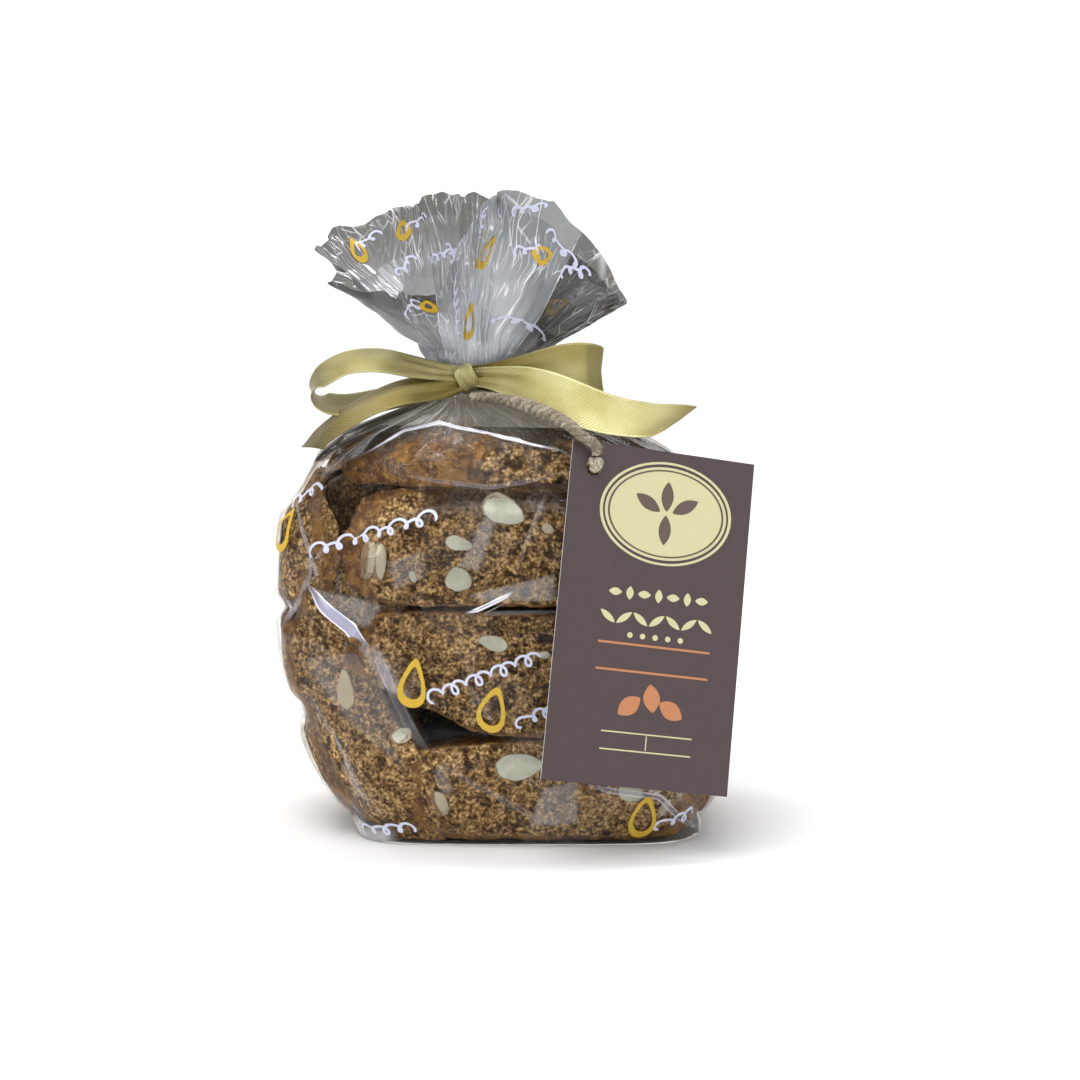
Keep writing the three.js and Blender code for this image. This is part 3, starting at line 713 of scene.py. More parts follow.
def film_material(name, tint_through, glossiness, haze_colour, shares, stretched=None, pen=1.0):
    """Clear film: it reflects more at a slant, and has straight whitish creases, partly painted
    highlight, and panes with painted reflections.

    Its glossiness is a strength, what is taken off it and the most it may be. The first share is
    that of the panes with a painted reflection, the second that of the milky veil, partly the
    clouding of many layers lying together and partly painted reflection, the third that of the
    fine creases, the last that of the painted reflection band beside a shining fold. Where it
    is stretched, the creases run up it: so many lie round it and so many up it. The pen is how
    broad its folds shine.
    """
    strength, clearest, most = glossiness
    pane_share, veil_share, crease_share, reflection_band_share = shares
    material, tree = new_material(name)
    place = object_place(tree)
    cloud = noise_on(tree, place, 38, 2, distortion=1.5)
    # Film creases along the straight edges between flat panes, which are longest up and down.
    wander = noise_on(tree, place, 30, 1, output="Color")
    if stretched:
        uv = node(tree, "ShaderNodeUVMap", {"uv_map": "UVMap"}, {})
        bent = scaled(tree, wander, (0.6, 0.4, 0), scaled(tree, uv, (*stretched, 0)))
        scales, widths = (1, 2.2), (0.02, 0.03)
    else:
        bent = scaled(tree, scaled(tree, wander, (0.014, 0.014, 0.014), place), (1, 1, 0.55))
        scales, widths = (60, 210), (0.018, 0.035)
    panes = node(tree, "ShaderNodeTexVoronoi", {}, {"Vector": bent, "Scale": scales[0]}, "Color")
    pane = node(tree, "ShaderNodeSeparateColor", {}, {"Color": panes}, "Red")
    broad_edge, fine_edge = (
        node(tree, "ShaderNodeTexVoronoi", {"feature": "DISTANCE_TO_EDGE"},
             {"Vector": bent, "Scale": scale}) for scale in scales)
    present = cloud.between(0.42, 0.6)
    crease = (1 - broad_edge.between(0.0, widths[0]) + 1 - fine_edge.between(0.0, widths[1])) * present
    veil_and_painted_light, aside, far, shine = (attribute(tree, mark) for mark in FILM_MARKS)
    ragged = noise_on(tree, place, 170, 1).between(0.35, 0.7)
    # A shining fold: a whitish line on its ridge, partly the creased film's whitening and partly painted
    # highlight, and beside it a lilac band that is a painted reflection.
    off_line = aside.size() * (0.7 + 2.0 * ragged)
    ridge = 1 - off_line.between(0.15 * pen, 0.34 * pen)
    far_ridge = 1 - far.size().between(0.1, 0.3)
    line = (ridge + far_ridge).clipped() * shine * (0.45 + 0.55 * present)
    sheet = aside.between(-0.1, 0.1) * (1 - far.between(-0.1, 0.1)) * shine * reflection_band_share
    height = broad_edge * 3.0 + fine_edge * 0.6
    bump = bump_from(tree, height, 0.3 if stretched else 0.5, 0.0006)
    fresnel = node(tree, "ShaderNodeFresnel", {}, {"IOR": 1.45, "Normal": bump})
    gloss = (fresnel * strength - clearest).at_least(0.004).at_most(most)
    # The whitening sums the panes' painted reflection, the milky veil, the creases and the folds' lines,
    # which are partly real whitening and partly painted highlight, and the painted reflection band.
    whitening_and_painted_light = (pane.between(0.62, 0.68) * cloud.between(0.3, 0.6) * pane_share + veil_and_painted_light * veil_share
            + crease * crease_share + line + sheet).clipped()
    dull = whitening_and_painted_light / (gloss + whitening_and_painted_light + 0.002)
    # The band beside a fold takes a lilac painted reflection; lines and creases go near white, partly
    # painted highlight.
    tint = blend_colours(tree, sheet.between(0.0, 0.3), haze_colour, (0.5, 0.49, 0.7))
    tint = blend_colours(tree, (line + crease * crease_share).between(0.0, 0.4), tint, (0.95, 0.95, 1.0))
    tint = blend_colours(tree, dull, (1, 1, 1), tint)
    film = node(tree, "ShaderNodeBsdfPrincipled", {}, {
        "Base Color": tint, "Metallic": 1 - dull, "Roughness": 0.09, "Normal": bump})
    see_through = node(tree, "ShaderNodeBsdfTransparent", {}, {"Color": tint_through})
    factor = (gloss + whitening_and_painted_light).clipped()
    finish_material(tree, node(tree, "ShaderNodeMixShader", {}, {0: factor, 1: see_through, 2: film}))
    return material


def mark_film(mesh, marks_at):
    """Store at each point how milky the film looks, partly painted reflection, how far off a fold it is and
    how that shines.
    """
    uv = mesh.loops.layers.uv.active
    layers = [mesh.verts.layers.float.new(name) for name in FILM_MARKS]
    for vert in mesh.verts:
        u, v = vert.link_loops[0][uv].uv
        for layer, value in zip(layers, marks_at(u, v, *((vert.co - PLUMB) / MM))):
            vert[layer] = value


# The broad front panel of the flare folds forward between two straight edges: up, across.
PANEL_LEFT = [(129, -18), (139, -20.5), (151.6, -21), (176, -10.7), (182, -8)]
PANEL_RIGHT = [(129, -3), (143.3, 7.4), (165.4, 18.2), (182, 26)]


def panel_edge(points, up):
    for (z0, x0), (z1, x1) in zip(points, points[1:]):
        if up <= z1 or (z1, x1) == points[-1]:
            return x0 + (x1 - x0) * (up - z0) / (z1 - z0)


def body_film_mesh(columns, rows):
    def place(u, v):
        # Rows crowd towards the shoulder, where the pleats are.
        base_part = 0.1
        angle = 2 * pi * u
        if v < base_part:
            shrink = v / base_part
            edge = body_point(angle, 0.0)
            middle = body_size(0)[0]
            return at(middle + (edge.x - middle) * shrink, edge.y * shrink, FILM_BASE)
        z = NECK["bottom"] * (v - base_part) / (1 - base_part)
        point = body_point(angle, z)
        return at(point.x, point.y, max(point.z, FILM_BASE))

    def marks_at(_u, _v, across, deep, up):
        # The shoulder's milky veil is partly the clouding of pleated film and partly painted reflection.
        veil_and_painted_light = 0.7 * smooth_step(105, 118, up)
        if deep > -5 or up < 1:
            return veil_and_painted_light, *NO_FOLD
        # The film's corner by the base on the left gets a painted highlight, and the front's flat facets
        # get painted reflections.
        corner = (1 - smooth_step(2, 6, up)) * (1 - smooth_step(-36, -31, across))
        aside, far, _, shine = max(folds_at(across, up), key=lambda fold: (fold[3], -abs(fold[0])))
        return veil_and_painted_light + 2.5 * corner + reflection_patches_at(across, up), aside, far, shine

    mesh = map_grid(columns, rows, place, joined=True)
    mark_film(mesh, marks_at)
    return mesh


def flare_film_mesh(columns, rows):
    def share_up(v):
        return FLARE_BELOW + (1 - FLARE_BELOW) * v

    def place(u, v):
        t = share_up(v)
        angle = 2 * pi * u
        if t < 0:
            point = flare_point(angle, 0)
            drop = (NECK["top"] - NECK["bottom"]) * t / FLARE_BELOW
            return at(point.x, point.y, NECK["top"] - drop)
        return at(*flare_point(angle, t))

    def marks_at(u, v, across, deep, up):
        # The milky veil is strongest where the film is crushed together, above the knot, and in the front
        # panel: partly the clouding of layered film, partly painted reflection.
        t = max(share_up(v), 0.0)
        veil_and_painted_light = 0.16 + 1.65 * (1 - smooth_step(0.3, 1.0, t)) * (1 - smooth_step(-4, 8, across))
        angle = 2 * pi * u
        phase = pleat_phase(angle, t) + 0.5
        off_ridge = phase - floor(phase + 0.5)
        per_radian = (pleat_phase(angle + 0.01, t) - pleat_phase(angle - 0.01, t)) / 0.02
        apart = hypot(across - NECK["x"], deep - NECK["y"]) / max(per_radian, 0.5)
        strong = noise.cell(Vector((floor(phase + 0.5) % PLEATS_ROUND + 0.5, 0.5, 0.5)))
        aside = off_ridge * apart
        # Strong pleats carry a painted highlight along their ridges, and so do the edges of the front
        # panel.
        shine = (smooth_step(0.35, 0.8, strong) * smooth_step(0.05, 0.4, t)
                 * (1 - smooth_step(0.2, 0.4, abs(off_ridge))))
        if deep < -2:
            right = panel_edge(PANEL_RIGHT, up) - across
            left = across - panel_edge(PANEL_LEFT, up)
            inside = min(right, left)
            veil_and_painted_light += 1.0 * smooth_step(-0.3, 0.3, inside)
            edge = smooth_step(0.05, 0.2, t) * (1.0 if right < left else 0.55)
            shine *= smooth_step(1.5, 3, abs(inside))
            if abs(inside) < 1.5:
                aside, shine = inside, edge * (1 - smooth_step(0.8, 1.5, abs(inside)))
        return veil_and_painted_light, aside, 9.0, shine

    mesh = map_grid(columns, rows, place, joined=True)
    mark_film(mesh, marks_at)
    return mesh


body_film = film_material("clear film", (0.97, 0.965, 0.955), (1.3, 0.04, 0.55), (0.7, 0.67, 0.67),
                          (0.03, 0.24, 0.05, 0.75))
# The pleated and gathered films pass little light: painted shade, a darkness standing in for dim
# surroundings seen through the film.
shoulder_film = film_material("pleated film", (0.42, 0.4, 0.36), (1.0, 0.03, 0.3), (0.62, 0.62, 0.6),
                              (0.05, 0.12, 0.25, 0.6), stretched=(64, 2.5))
flare_film = film_material("gathered film", (0.135, 0.128, 0.116), (0.7, 0.0, 0.11), (0.68, 0.72, 0.77),
                           (0.06, 0.26, 0.5, 0.0), stretched=(56, 1.7), pen=0.45)
SHOULDER = [(-70, 100), (-40, 106), (-29.6, 112.4), (-20, 114.4), (-4, 111), (13, 107), (60, 97)]
BACK_SHOULDER = 110


def above_shoulder(point):
    """Whether a point of the body's film lies in the pleats, above the fold that crosses the shoulder."""
    across, deep, up = (point - PLUMB) / MM
    if deep > 0:
        return up > BACK_SHOULDER
    for (x0, z0), (x1, z1) in zip(SHOULDER, SHOULDER[1:]):
        if across <= x1 or x1 == SHOULDER[-1][0]:
            return up > z0 + (z1 - z0) * (across - x0) / (x1 - x0)


fine = 1.0
body_mesh, flare_mesh = (sheet_mesh(*(int(count * fine) for count in grid)) for sheet_mesh, grid in (
    (body_film_mesh, BODY_GRID), (flare_film_mesh, FLARE_GRID)))
film_body = add_piece("film_body", body_mesh, body_film)
film_body.data.materials.append(shoulder_film)
for polygon in film_body.data.polygons:
    polygon.material_index = 1 if above_shoulder(polygon.center) else 0
film_flare = add_piece("film_flare", flare_mesh, flare_film)
for part in (film_body, film_flare):
    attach(part, "root")
    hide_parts("bag")

# ---- biscuits ---------------------------------------------------------------------------
# Slices cut across a flat baked log: an open crumb with pores on the two cut faces, a
# smooth browned crust all round, and whole almonds that the knife went through.
SLICES = [  # name after "slice_", middle, length, height, thickness, turn, lean, tip, mesh step
    ("top", (0, -17.0, 104.6), 92, 34, 15.0, 0, -1, 90, 0.5),
    ("upper", (4.5, -29.5, 79.3), 101, 32.8, 14.5, 1, 0, -2, 0.4),
    ("middle", (2.5, -30.0, 50.2), 95, 33.5, 14.5, -1, 178, -1, 0.4),
    ("leaning", (-40.0, -26.5, 32.0), 73, 29, 13.0, -22, 117, 0, 0.4),
    ("bottom", (12.0, -29.0, 12.9), 84, 28, 14.5, 1, 0, -6, 0.4),
    ("left_piece", (-43.5, -24.0, 67.5), 32, 17, 13.0, -8, -12, 0, 0.4),
    ("left_upper", (-58.0, -5, 80.5), 64, 34, 15.0, 86, 3, 0, 0.7),
    ("left_middle", (-58.5, 6, 47.0), 60, 36, 14.0, 92, -4, 0, 0.8),
    ("left_lower", (-52.0, 4, 18.5), 60, 38, 14.0, 90, 2, 0, 0.8),
    ("right_upper", (53.5, -1, 79.0), 62, 33, 14.0, 91, -2, 0, 0.7),
    ("right_middle", (55.5, 1, 46.0), 62, 32, 14.0, 89, 3, 0, 0.7),
    ("right_lower", (52.0, 6, 16.5), 56, 32, 13.5, 90, -2, 0, 0.8),
    ("top_back", (-6, 15, 102.5), 98, 31, 14.0, 2, 1, 90, 0.8),
    ("second_upper", (-5, -13.5, 92.0), 99, 30, 14.0, -1, 1, 0, 0.9),
    ("second_middle", (-5, -13.5, 63.0), 101, 32, 14.0, 1, 181, 0, 0.9),
    ("second_lower", (24, -10.5, 33.0), 50, 30, 14.0, 0, 3, 0, 0.9),
    ("second_base", (4, -10.5, 9.5), 88, 18, 14.0, 0, 0, 0, 0.9),
    ("third_upper", (-4, 2.0, 78.0), 98, 32, 14.0, 1, 0, 0, 1.4),
    ("third_middle", (-4, 2.0, 45.5), 97, 31, 14.0, -1, 1, 0, 1.4),
    ("third_lower", (6, 3.0, 15.0), 84, 28, 14.0, 0, 0, 0, 1.4),
    ("fourth_upper", (-2, 14.5, 92.0), 92, 30, 12.0, 1, 0, 0, 1.2),
    ("fourth_middle", (1, 14.5, 62.0), 94, 32, 12.0, -1, 180, 0, 1.2),
    ("fourth_lower", (4, 14.5, 32.0), 90, 30, 12.0, 0, 0, 0, 1.2),
    ("back_upper", (2, 28.0, 78.5), 97, 33.5, 14.5, 0, 1, 0, 0.55),
    ("back_middle", (-3, 28.4, 45.5), 95, 32.5, 14.5, 0, 182, 0, 0.55),
    ("back_lower", (5, 26.8, 15.0), 84, 28.5, 14.5, 0, -1, 0, 0.55),
]
CLEARANCE = 1.25  # between a biscuit and the film, which is pressed out where a biscuit lies
CRUMB_TO_CRUST = (0.965, 0.985)  # where the crust of a cut face begins, as shares of the way out
SHADED = ("second_lower", "second_base", "third_middle", "third_lower")


def inside_film(point, clearance=CLEARANCE):
    """Pull a point in, level, so that it stays behind the film."""
    z = min(max(point.z, 0.9), 119.0)
    middle, half_width, half_depth, corner = body_size(z)
    across, deep = abs(point.x - middle) / half_width, abs(point.y) / half_depth
    out = (across ** corner + deep ** corner) ** (1 / corner)
    if out > 0.85:
        push = press_at((point.x - middle) / out + middle, point.y / out, z, across / out, deep / out)
        clearance += PRESS_SETTLE - push
    half_width, half_depth = half_width - clearance, half_depth - clearance
    across, deep = abs(point.x - middle) / half_width, abs(point.y) / half_depth
    out = (across ** corner + deep ** corner) ** (1 / corner)
    if out > 1:
        return Vector((middle + (point.x - middle) / out, point.y / out, z))
    return Vector((point.x, point.y, z))


def pore_depth(spot, cell, share):
    """Round holes, one in some of the cells of a random packing: 0 outside, 1 at the middle."""
    distances, centres = noise.voronoi(spot / cell)
    key = noise.cell(centres[0] * 7.3)
    if key > share:
        return 0.0
    size = 0.22 + 0.3 * key / share
    return smooth_step(0, 1, (size - distances[0]) / size * 1.4) if distances[0] < size else 0.0


def slice_pose(spec):
    _, middle, _, _, _, turn, lean, tip, _ = spec
    turned = (Matrix.Rotation(radians(turn), 3, "Z") @ Matrix.Rotation(-radians(lean), 3, "Y")
              @ Matrix.Rotation(radians(tip), 3, "X"))
    return turned, Vector(middle)


USUAL_ENDS = (0.42, 0.66)  # how much the dome draws in at the ends of its top, and how much it drops
ROUND_ENDS = {"upper": (0.2, 0.4), "middle": (0.75, 0.66), "bottom": (0.2, 0.3)}


def slice_outline(u, w, length, height, ends):
    """The log's section: a flat underside and a domed top, for u and w from -1 to 1."""
    if w < 0:
        return length / 2 * u * sqrt(1 - 0.2 * w * w), 0.42 * height * w * sqrt(1 - 0.4 * u ** 6)
    drawn_in, dropped = ends
    return (length / 2 * u * sqrt(1 - drawn_in * w * w),
            0.58 * height * w * sqrt(1 - dropped * abs(u) ** 3))


def subdivide_along(mesh, axis, cuts):
    edges = [edge for edge in mesh.edges
             if abs((edge.verts[0].co - edge.verts[1].co)[axis]) > 1e-6]
    bmesh.ops.subdivide_edges(mesh, edges=edges, cuts=cuts, use_grid_fill=True)


def crumb_pores(spot, shift):
    """How deep the open crumb is at a point: a few large holes in a fine, drawn-out sponge."""
    drawn = Vector((spot.x / 1.5, spot.y, spot.z))
    sponge = noise.noise(drawn / 1.5) * 0.75 + noise.noise(drawn / 0.8 + shift) * 0.5
    fine_holes = smooth_step(0.12, 0.5, sponge)
    return max(pore_depth(drawn, 5.5, 0.3), 0.8 * pore_depth(drawn + shift, 2.9, 0.35), 0.55 * fine_holes)


def slice_shade(name, u, w):
    """Painted deep shade: behind the gap low in the pack, on the second upper slice, on top of the upper
    slice under the top one, and on the underside of the leaning slice.
    """
    if name in SHADED:
        return 0.95
    if name == "second_upper":
        return 0.6
    if name == "upper":
        return 0.8 * smooth_step(0.42, 0.8, w) * smooth_step(-0.78, -0.6, u)
    if name == "leaning":
        return 0.75 * smooth_step(0.9, 0.99, -w)
    return 0.0


def slice_mesh(spec, seed):
    name, _, length, height, thick, _, _, _, step = spec
    step /= fine
    mesh = bmesh.new()
    bmesh.ops.create_cube(mesh, size=2)
    subdivide_along(mesh, 0, int(length / step))
    subdivide_along(mesh, 2, int(height / step))
    subdivide_along(mesh, 1, int(thick / max(step, 0.9)))
    crust_layer = mesh.verts.layers.float.new("crust")
    painted_shade_layer = mesh.verts.layers.float.new("painted_shade")
    turned, middle = slice_pose(spec)
    shift = Vector((seed * 31.7, seed * 17.3, seed * 5.1))
    for vert in mesh.verts:
        u, d, w = vert.co
        x, z = slice_outline(u, w, length, height, ROUND_ENDS.get(name, USUAL_ENDS))
        rim = max(abs(u), abs(w))
        rounded = (1 - 0.035 * abs(d) ** 6 + 0.04 * rough(u * 2.1, w * 2.1, seed)
                   + 0.022 * rough(u * 7, w * 7, seed))
        x, z = x * rounded, z * rounded
        spot = Vector((x, d * thick / 2, z)) + shift
        on_face = abs(d) > 0.999
        torn = 0.0
        if name == "top":
            # The front right of this one broke away under its upper edge, and shows its crumb.
            torn = (smooth_step(-0.32, -0.2, u + 0.2 * noise.noise(spot / 6)) * smooth_step(0.2, 0.5, w)
                    * (1 - smooth_step(0.35, 0.75, d + 0.5 * noise.noise(spot / 5))))
        edge_noise = 0.012 * noise.noise(spot / 1.8)
        cut = (1 - smooth_step(*CRUMB_TO_CRUST, rim + edge_noise)) if on_face else 0.0
        crumb = max(cut, torn)
        shade = slice_shade(name, u, w)
        y = d * thick / 2 * (1 + 0.06 * rough(x / 26, z / 14, seed))
        holes = crumb_pores(spot, shift) if crumb > 0.05 else 0.0
        grain = noise.noise(spot / 0.9) * 0.16 + noise.noise(spot / 2.8) * 0.3
        if on_face:
            y -= copysign(1, d) * cut * (1.5 * holes - grain)
        skin = (1 - cut) * (0.6 * noise.noise(spot / 6) + 0.45 * noise.noise(spot / 2.2)
                            + 0.18 * noise.noise(spot / 0.9) - 0.6 * pore_depth(spot, 4.5, 0.25))
        away = Vector((u * abs(u), 0, w * abs(w))).normalized() if rim > 0.98 else Vector()
        hollow = torn * smooth_step(0.0, 0.3, noise.noise(spot / 2.6)) if torn else 0.0
        shaped = Vector((x, y, z)) + away * (skin - torn * (1.6 + 1.5 * holes + 1.2 * hollow))
        vert[crust_layer] = 1 - crumb
        # Painted shade: this mark darkens the crumb's pores, the edge of the tear and its hollows, and
        # whole slices or parts of them that lie in shade.
        vert[painted_shade_layer] = max(holes * crumb, shade, 2.4 * torn * (1 - torn), 0.85 * hollow)
        vert.co = at(*inside_film(turned @ shaped + middle))
    return mesh


def biscuit_material():
    """Brown crumb with painted shade in its pores and low pits and paler raised grains, and a golden-brown
    baked crust.
    """
    material, tree = new_material("biscuit")
    place = object_place(tree)
    crust = attribute(tree, "crust")
    painted_shade = attribute(tree, "painted_shade")
    broad = noise_on(tree, place, 45, 3)
    grain = noise_on(tree, place, 1300, 3, roughness=0.7)
    sponge = noise_on(tree, place, 1050, 4, roughness=0.6, distortion=0.3)
    clusters = noise_on(tree, place, 400, 3)
    # The crumb is dark where its sponge lies low and pale where it stands up: partly painted shade and
    # highlight on its own relief.
    level = sponge + (broad - 0.5) * 0.1 - (1 - clusters.between(0.36, 0.54)) * 0.13 + 0.034
    crumb = blend_colours(tree, level.between(0.37, 0.51), (0.055, 0.024, 0.007), (0.34, 0.19, 0.06))
    crumb = blend_colours(tree, level.between(0.5, 0.68), crumb, (0.88, 0.61, 0.29))
    baked = noise_on(tree, place, 230, 5, roughness=0.72, distortion=0.5)
    blister = noise_on(tree, place, 420, 4, roughness=0.65)
    shell = blend_colours(tree, baked.between(0.4, 0.6), (0.13, 0.052, 0.011), (0.37, 0.18, 0.038))
    shell = blend_colours(tree, blister.between(0.52, 0.7), shell, (0.56, 0.33, 0.115))
    shell = blend_colours(tree, (1 - grain.between(0.32, 0.45)) * 0.6, shell, (0.06, 0.026, 0.009))
    crack = 1 - (baked - 0.47).size().between(0.0, 0.018)
    shell = blend_colours(tree, crack * 0.5, shell, (0.08, 0.034, 0.01))
    tint = blend_colours(tree, crust, crumb, shell)
    # Painted shade: where the mark is full, the colour is nearly black.
    tint = blend_colours(tree, (painted_shade * 1.1).clipped(), tint, (0.045, 0.019, 0.006))
    rough_height = grain * 0.4 + sponge * 1.8 + blister * 0.9 + baked * crust * 2.6
    bump = bump_from(tree, rough_height, 0.8, 0.0008)
    gloss = 0.88 - crust * 0.4
    finish_plain(tree, tint, gloss, bump)
    return material


biscuit = biscuit_material()
for seed, spec in enumerate(SLICES):
    part = add_piece("slice_" + spec[0], slice_mesh(spec, seed + 1), biscuit)
    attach(part, "root")
    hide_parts("bag")

# ---- almonds ----------------------------------------------------------------------------
# Almonds set in the crumb, cut through by the knife: a flat cream face, a thin brown skin.
ALMONDS = {  # by slice: across and up from its middle, length, width, turn in degrees, tan share
    "upper": ((-7.3, 12.0, 12.8, 7.6, 24, 0.0), (-18.9, 3.3, 7.6, 4.0, 16, 0.1),
              (-18.9, -6.3, 7.4, 6.8, 15, 0.1), (-45.0, -1.2, 10.6, 4.5, 94, 0.4),
              (-40.8, -1.8, 10.2, 4.3, 87, 0.4), (-31.1, -5.5, 3.4, 1.8, 70, 0.2),
              (4.6, 7.2, 3.6, 2.6, 30, 0.5), (26, 4, 12, 7, 20, 0.1)),
    "middle": ((7.9, -6.0, 8.4, 4.2, 14, 0.1), (-5.7, -3.3, 3.4, 2.0, 0, 0.2),
               (-26, 2, 10.5, 6.5, 20, 0.1)),
    "leaning": ((10.8, -2.2, 11.5, 5.0, 22, 0.6), (-6.3, -10.6, 6.0, 4.0, 80, 0.1)),
    "bottom": ((-10.4, 9.0, 13.6, 7.6, -4, 0.0), (-32.6, -1.3, 7.4, 4.0, 78, 0.4),
               (20.0, 2.0, 9.0, 6.0, 25, 0.1), (33.0, -3.0, 6.0, 4.0, -40, 0.4)),
    "back_upper": ((12, 3, 12, 7.5, 15, 0.1), (-22, -5, 9, 5, -35, 0.3), (-3, 9, 8, 4, 70, 0.2),
                   (34, -4, 7, 5, 10, 0.1)),
    "back_middle": ((-8, 4, 12, 7, -12, 0.1), (25, -4, 8, 6, 40, 0.4), (-32, -3, 10, 6, 10, 0.1)),
    "back_lower": ((4, 1, 11, 7, 8, 0.1), (-24, 2, 8, 4, -20, 0.2), (26, 5, 7, 5, 50, 0.2)),
    "left_upper": ((-8, 3, 11, 7, 20, 0.2), (14, -4, 8, 5, -30, 0.1)),
    "left_middle": ((4, -3, 9, 5, -30, 0.3),),
    "left_lower": ((-4, 2, 10, 6, 10, 0.1),),
    "right_upper": ((10, -2, 11, 7, -15, 0.1), (-12, 5, 8, 4, 40, 0.2)),
    "right_middle": ((-9, 4, 9, 6, 35, 0.2), (12, -2, 11, 6, 5, 0.1)),
    "right_lower": ((2, 3, 10, 6, -20, 0.1),),
}
ALMOND_PROUD = 0.5
ALMOND_DEEP = 2.4
ALMOND_CLEARANCE = 0.9


def almond_mesh(name, across, up, length, width, turn, tan):
    spec = next(entry for entry in SLICES if entry[0] == name)
    turned, middle = slice_pose(spec)
    # The cut face that shows is the one that looks out of the bag.
    outward = (turned @ Vector((0, -1, 0))).dot(Vector((middle.x * 0.6, middle.y, 0)))
    face = -1 if outward > 0 else 1
    mesh = bmesh.new()
    bmesh.ops.create_uvsphere(mesh, u_segments=48, v_segments=32, radius=1)
    skin = mesh.verts.layers.float.new("skin")
    tone = mesh.verts.layers.float.new("tone")
    spin = Matrix.Rotation(radians(turn), 3, "Y")
    for vert in mesh.verts:
        x, z, y = vert.co
        edge = hypot(x, z)
        vert[skin] = smooth_step(0.88, 0.97, edge) if y > -0.5 else 1.0
        vert[tone] = tan
        uneven = (1 + 0.1 * rough(x * 1.6, z * 1.6, across + up)
                  + 0.07 * rough(x * 4.5, z * 4.5, across - up))
        pointed = (1 - 0.22 * x) * uneven
        flat = min(y, 0.36 + 0.08 * (1 - edge * edge) + 0.05 * rough(x * 3, z * 3, up))
        shaped = spin @ Vector((x * length / 2 * uneven, 0, z * width / 2 * pointed))
        deep = spec[4] / 2 + ALMOND_PROUD + (flat - 0.44) * ALMOND_DEEP
        where = turned @ Vector((across + shaped.x, face * deep, up + shaped.z)) + middle
        vert.co = at(*inside_film(where, ALMOND_CLEARANCE))
    bmesh.ops.recalc_face_normals(mesh, faces=mesh.faces)
    return mesh


def almond_material():
    material, tree = new_material("almond")
    place = object_place(tree)
    skin = attribute(tree, "skin")
    tone = attribute(tree, "tone")
    cloud = noise_on(tree, place, 260, 4)
    flesh = blend_colours(tree, cloud.between(0.35, 0.7), (0.55, 0.56, 0.46), (0.72, 0.735, 0.62))
    flesh = blend_colours(tree, tone, flesh, (0.5, 0.37, 0.15))
    tint = blend_colours(tree, skin * 0.85, flesh, (0.22, 0.1, 0.035))
    bump = bump_from(tree, cloud, 0.4, 0.0003)
    finish_plain(tree, tint, 0.5, bump)
    return material


almond_meshes = [almond_mesh(name, *row) for name, rows in ALMONDS.items() for row in rows]
almonds = add_piece("almonds", join_meshes(almond_meshes), almond_material())
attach(almonds, "root")
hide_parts("bag")

# ---- ribbon -----------------------------------------------------------------------------
# One length of gold satin ribbon: a turn round the neck, a small hard knot, two loops and
# two tails with slanted cuts. It is woven with a fine cross rib and a firm selvedge.
RIBBON_WIDTH = 12.7
RIBBON_THICK = 0.25
LEFT_LOOP = [  # place along the middle, way across, share of the width that lies open
    ((-13.5, -12.0, 126.8), (0, -0.55, -0.84), 0.42), ((-20, -12.8, 127.6), (0, -0.7, -0.71), 0.5),
    ((-28, -14.0, 129.2), (0, -0.82, -0.57), 0.8), ((-37, -15.4, 130.9), (0, -0.87, -0.5), 1),
    ((-45.5, -16.6, 130.2), (0.1, -0.87, -0.5), 1), ((-51.4, -17.6, 127.0), (0.2, -0.86, -0.48), 1),
    ((-54.0, -18.3, 123.0), (0.2, -0.88, -0.4), 1), ((-51.8, -18.6, 119.9), (0.1, -0.9, -0.42), 1),
    ((-45.5, -18.0, 118.8), (0, -0.9, -0.44), 1), ((-36, -16.2, 120.2), (0, -0.88, -0.48), 1),
    ((-26, -14.2, 122.4), (0, -0.8, -0.6), 0.75), ((-14, -12.6, 125.2), (0, -0.6, -0.8), 0.42),
]
RIGHT_LOOP = [
    ((-12.5, -12.0, 126.8), (0, -0.4, -0.92), 0.42), ((-5, -13.2, 127.6), (0, -0.4, -0.92), 0.5),
    ((4, -15.0, 128.0), (0, -0.3, -0.95), 0.8), ((13, -16.4, 129.0), (0, -0.2, -0.98), 1),
    ((20, -16.2, 129.4), (0, -0.15, -0.99), 1), ((24.2, -12.2, 128.0), (0, -0.1, -0.99), 1),
    ((21.5, -8.0, 126.2), (0, 0, -1), 1), ((13, -7.0, 125.4), (0, 0, -1), 0.9),
    ((3, -8.4, 125.2), (0, 0, -1), 0.6), ((-12, -11.6, 125.6), (0, -0.3, -0.95), 0.42),
]
RIGHT_TAIL = [
    ((-12, -12.8, 126.4), (0.2, -0.4, -0.87), 0.4), ((-5, -15.4, 126.0), (0.25, -0.4, -0.83), 0.55),
    ((4, -20.0, 124.0), (0.3, -0.45, -0.81), 0.85), ((14, -24.4, 120.4), (0.3, -0.5, -0.81), 1),
    ((25, -27.0, 116.6), (0.2, -0.55, -0.81), 1), ((36, -27.4, 115.0), (-0.1, -0.7, -0.7), 1),
    ((44.5, -26.4, 115.2), (-0.4, -0.8, -0.45), 0.95),
]
LEFT_TAIL = [
    ((-14, -12.8, 125.0), (0, -0.6, -0.8), 0.42), ((-21, -16.4, 123.6), (0, -0.7, -0.7), 0.7),
    ((-30, -20.4, 122.2), (0.05, -0.85, -0.5), 0.95), ((-38, -24.0, 119.2), (0.12, -0.9, -0.42), 1),
    ((-45, -27.0, 115.2), (0.15, -0.9, -0.4), 1), ((-50.4, -28.8, 111.2), (0.2, -0.9, -0.38), 1),
    ((-53.6, -29.6, 107.6), (0.25, -0.9, -0.36), 1),
]
RIGHT_TAIL_SLANT, LEFT_TAIL_SLANT = 6.0, 1.5
KNOT_MIDDLE = (-13, -12.4, 126)
KNOT_TILT = radians(28)


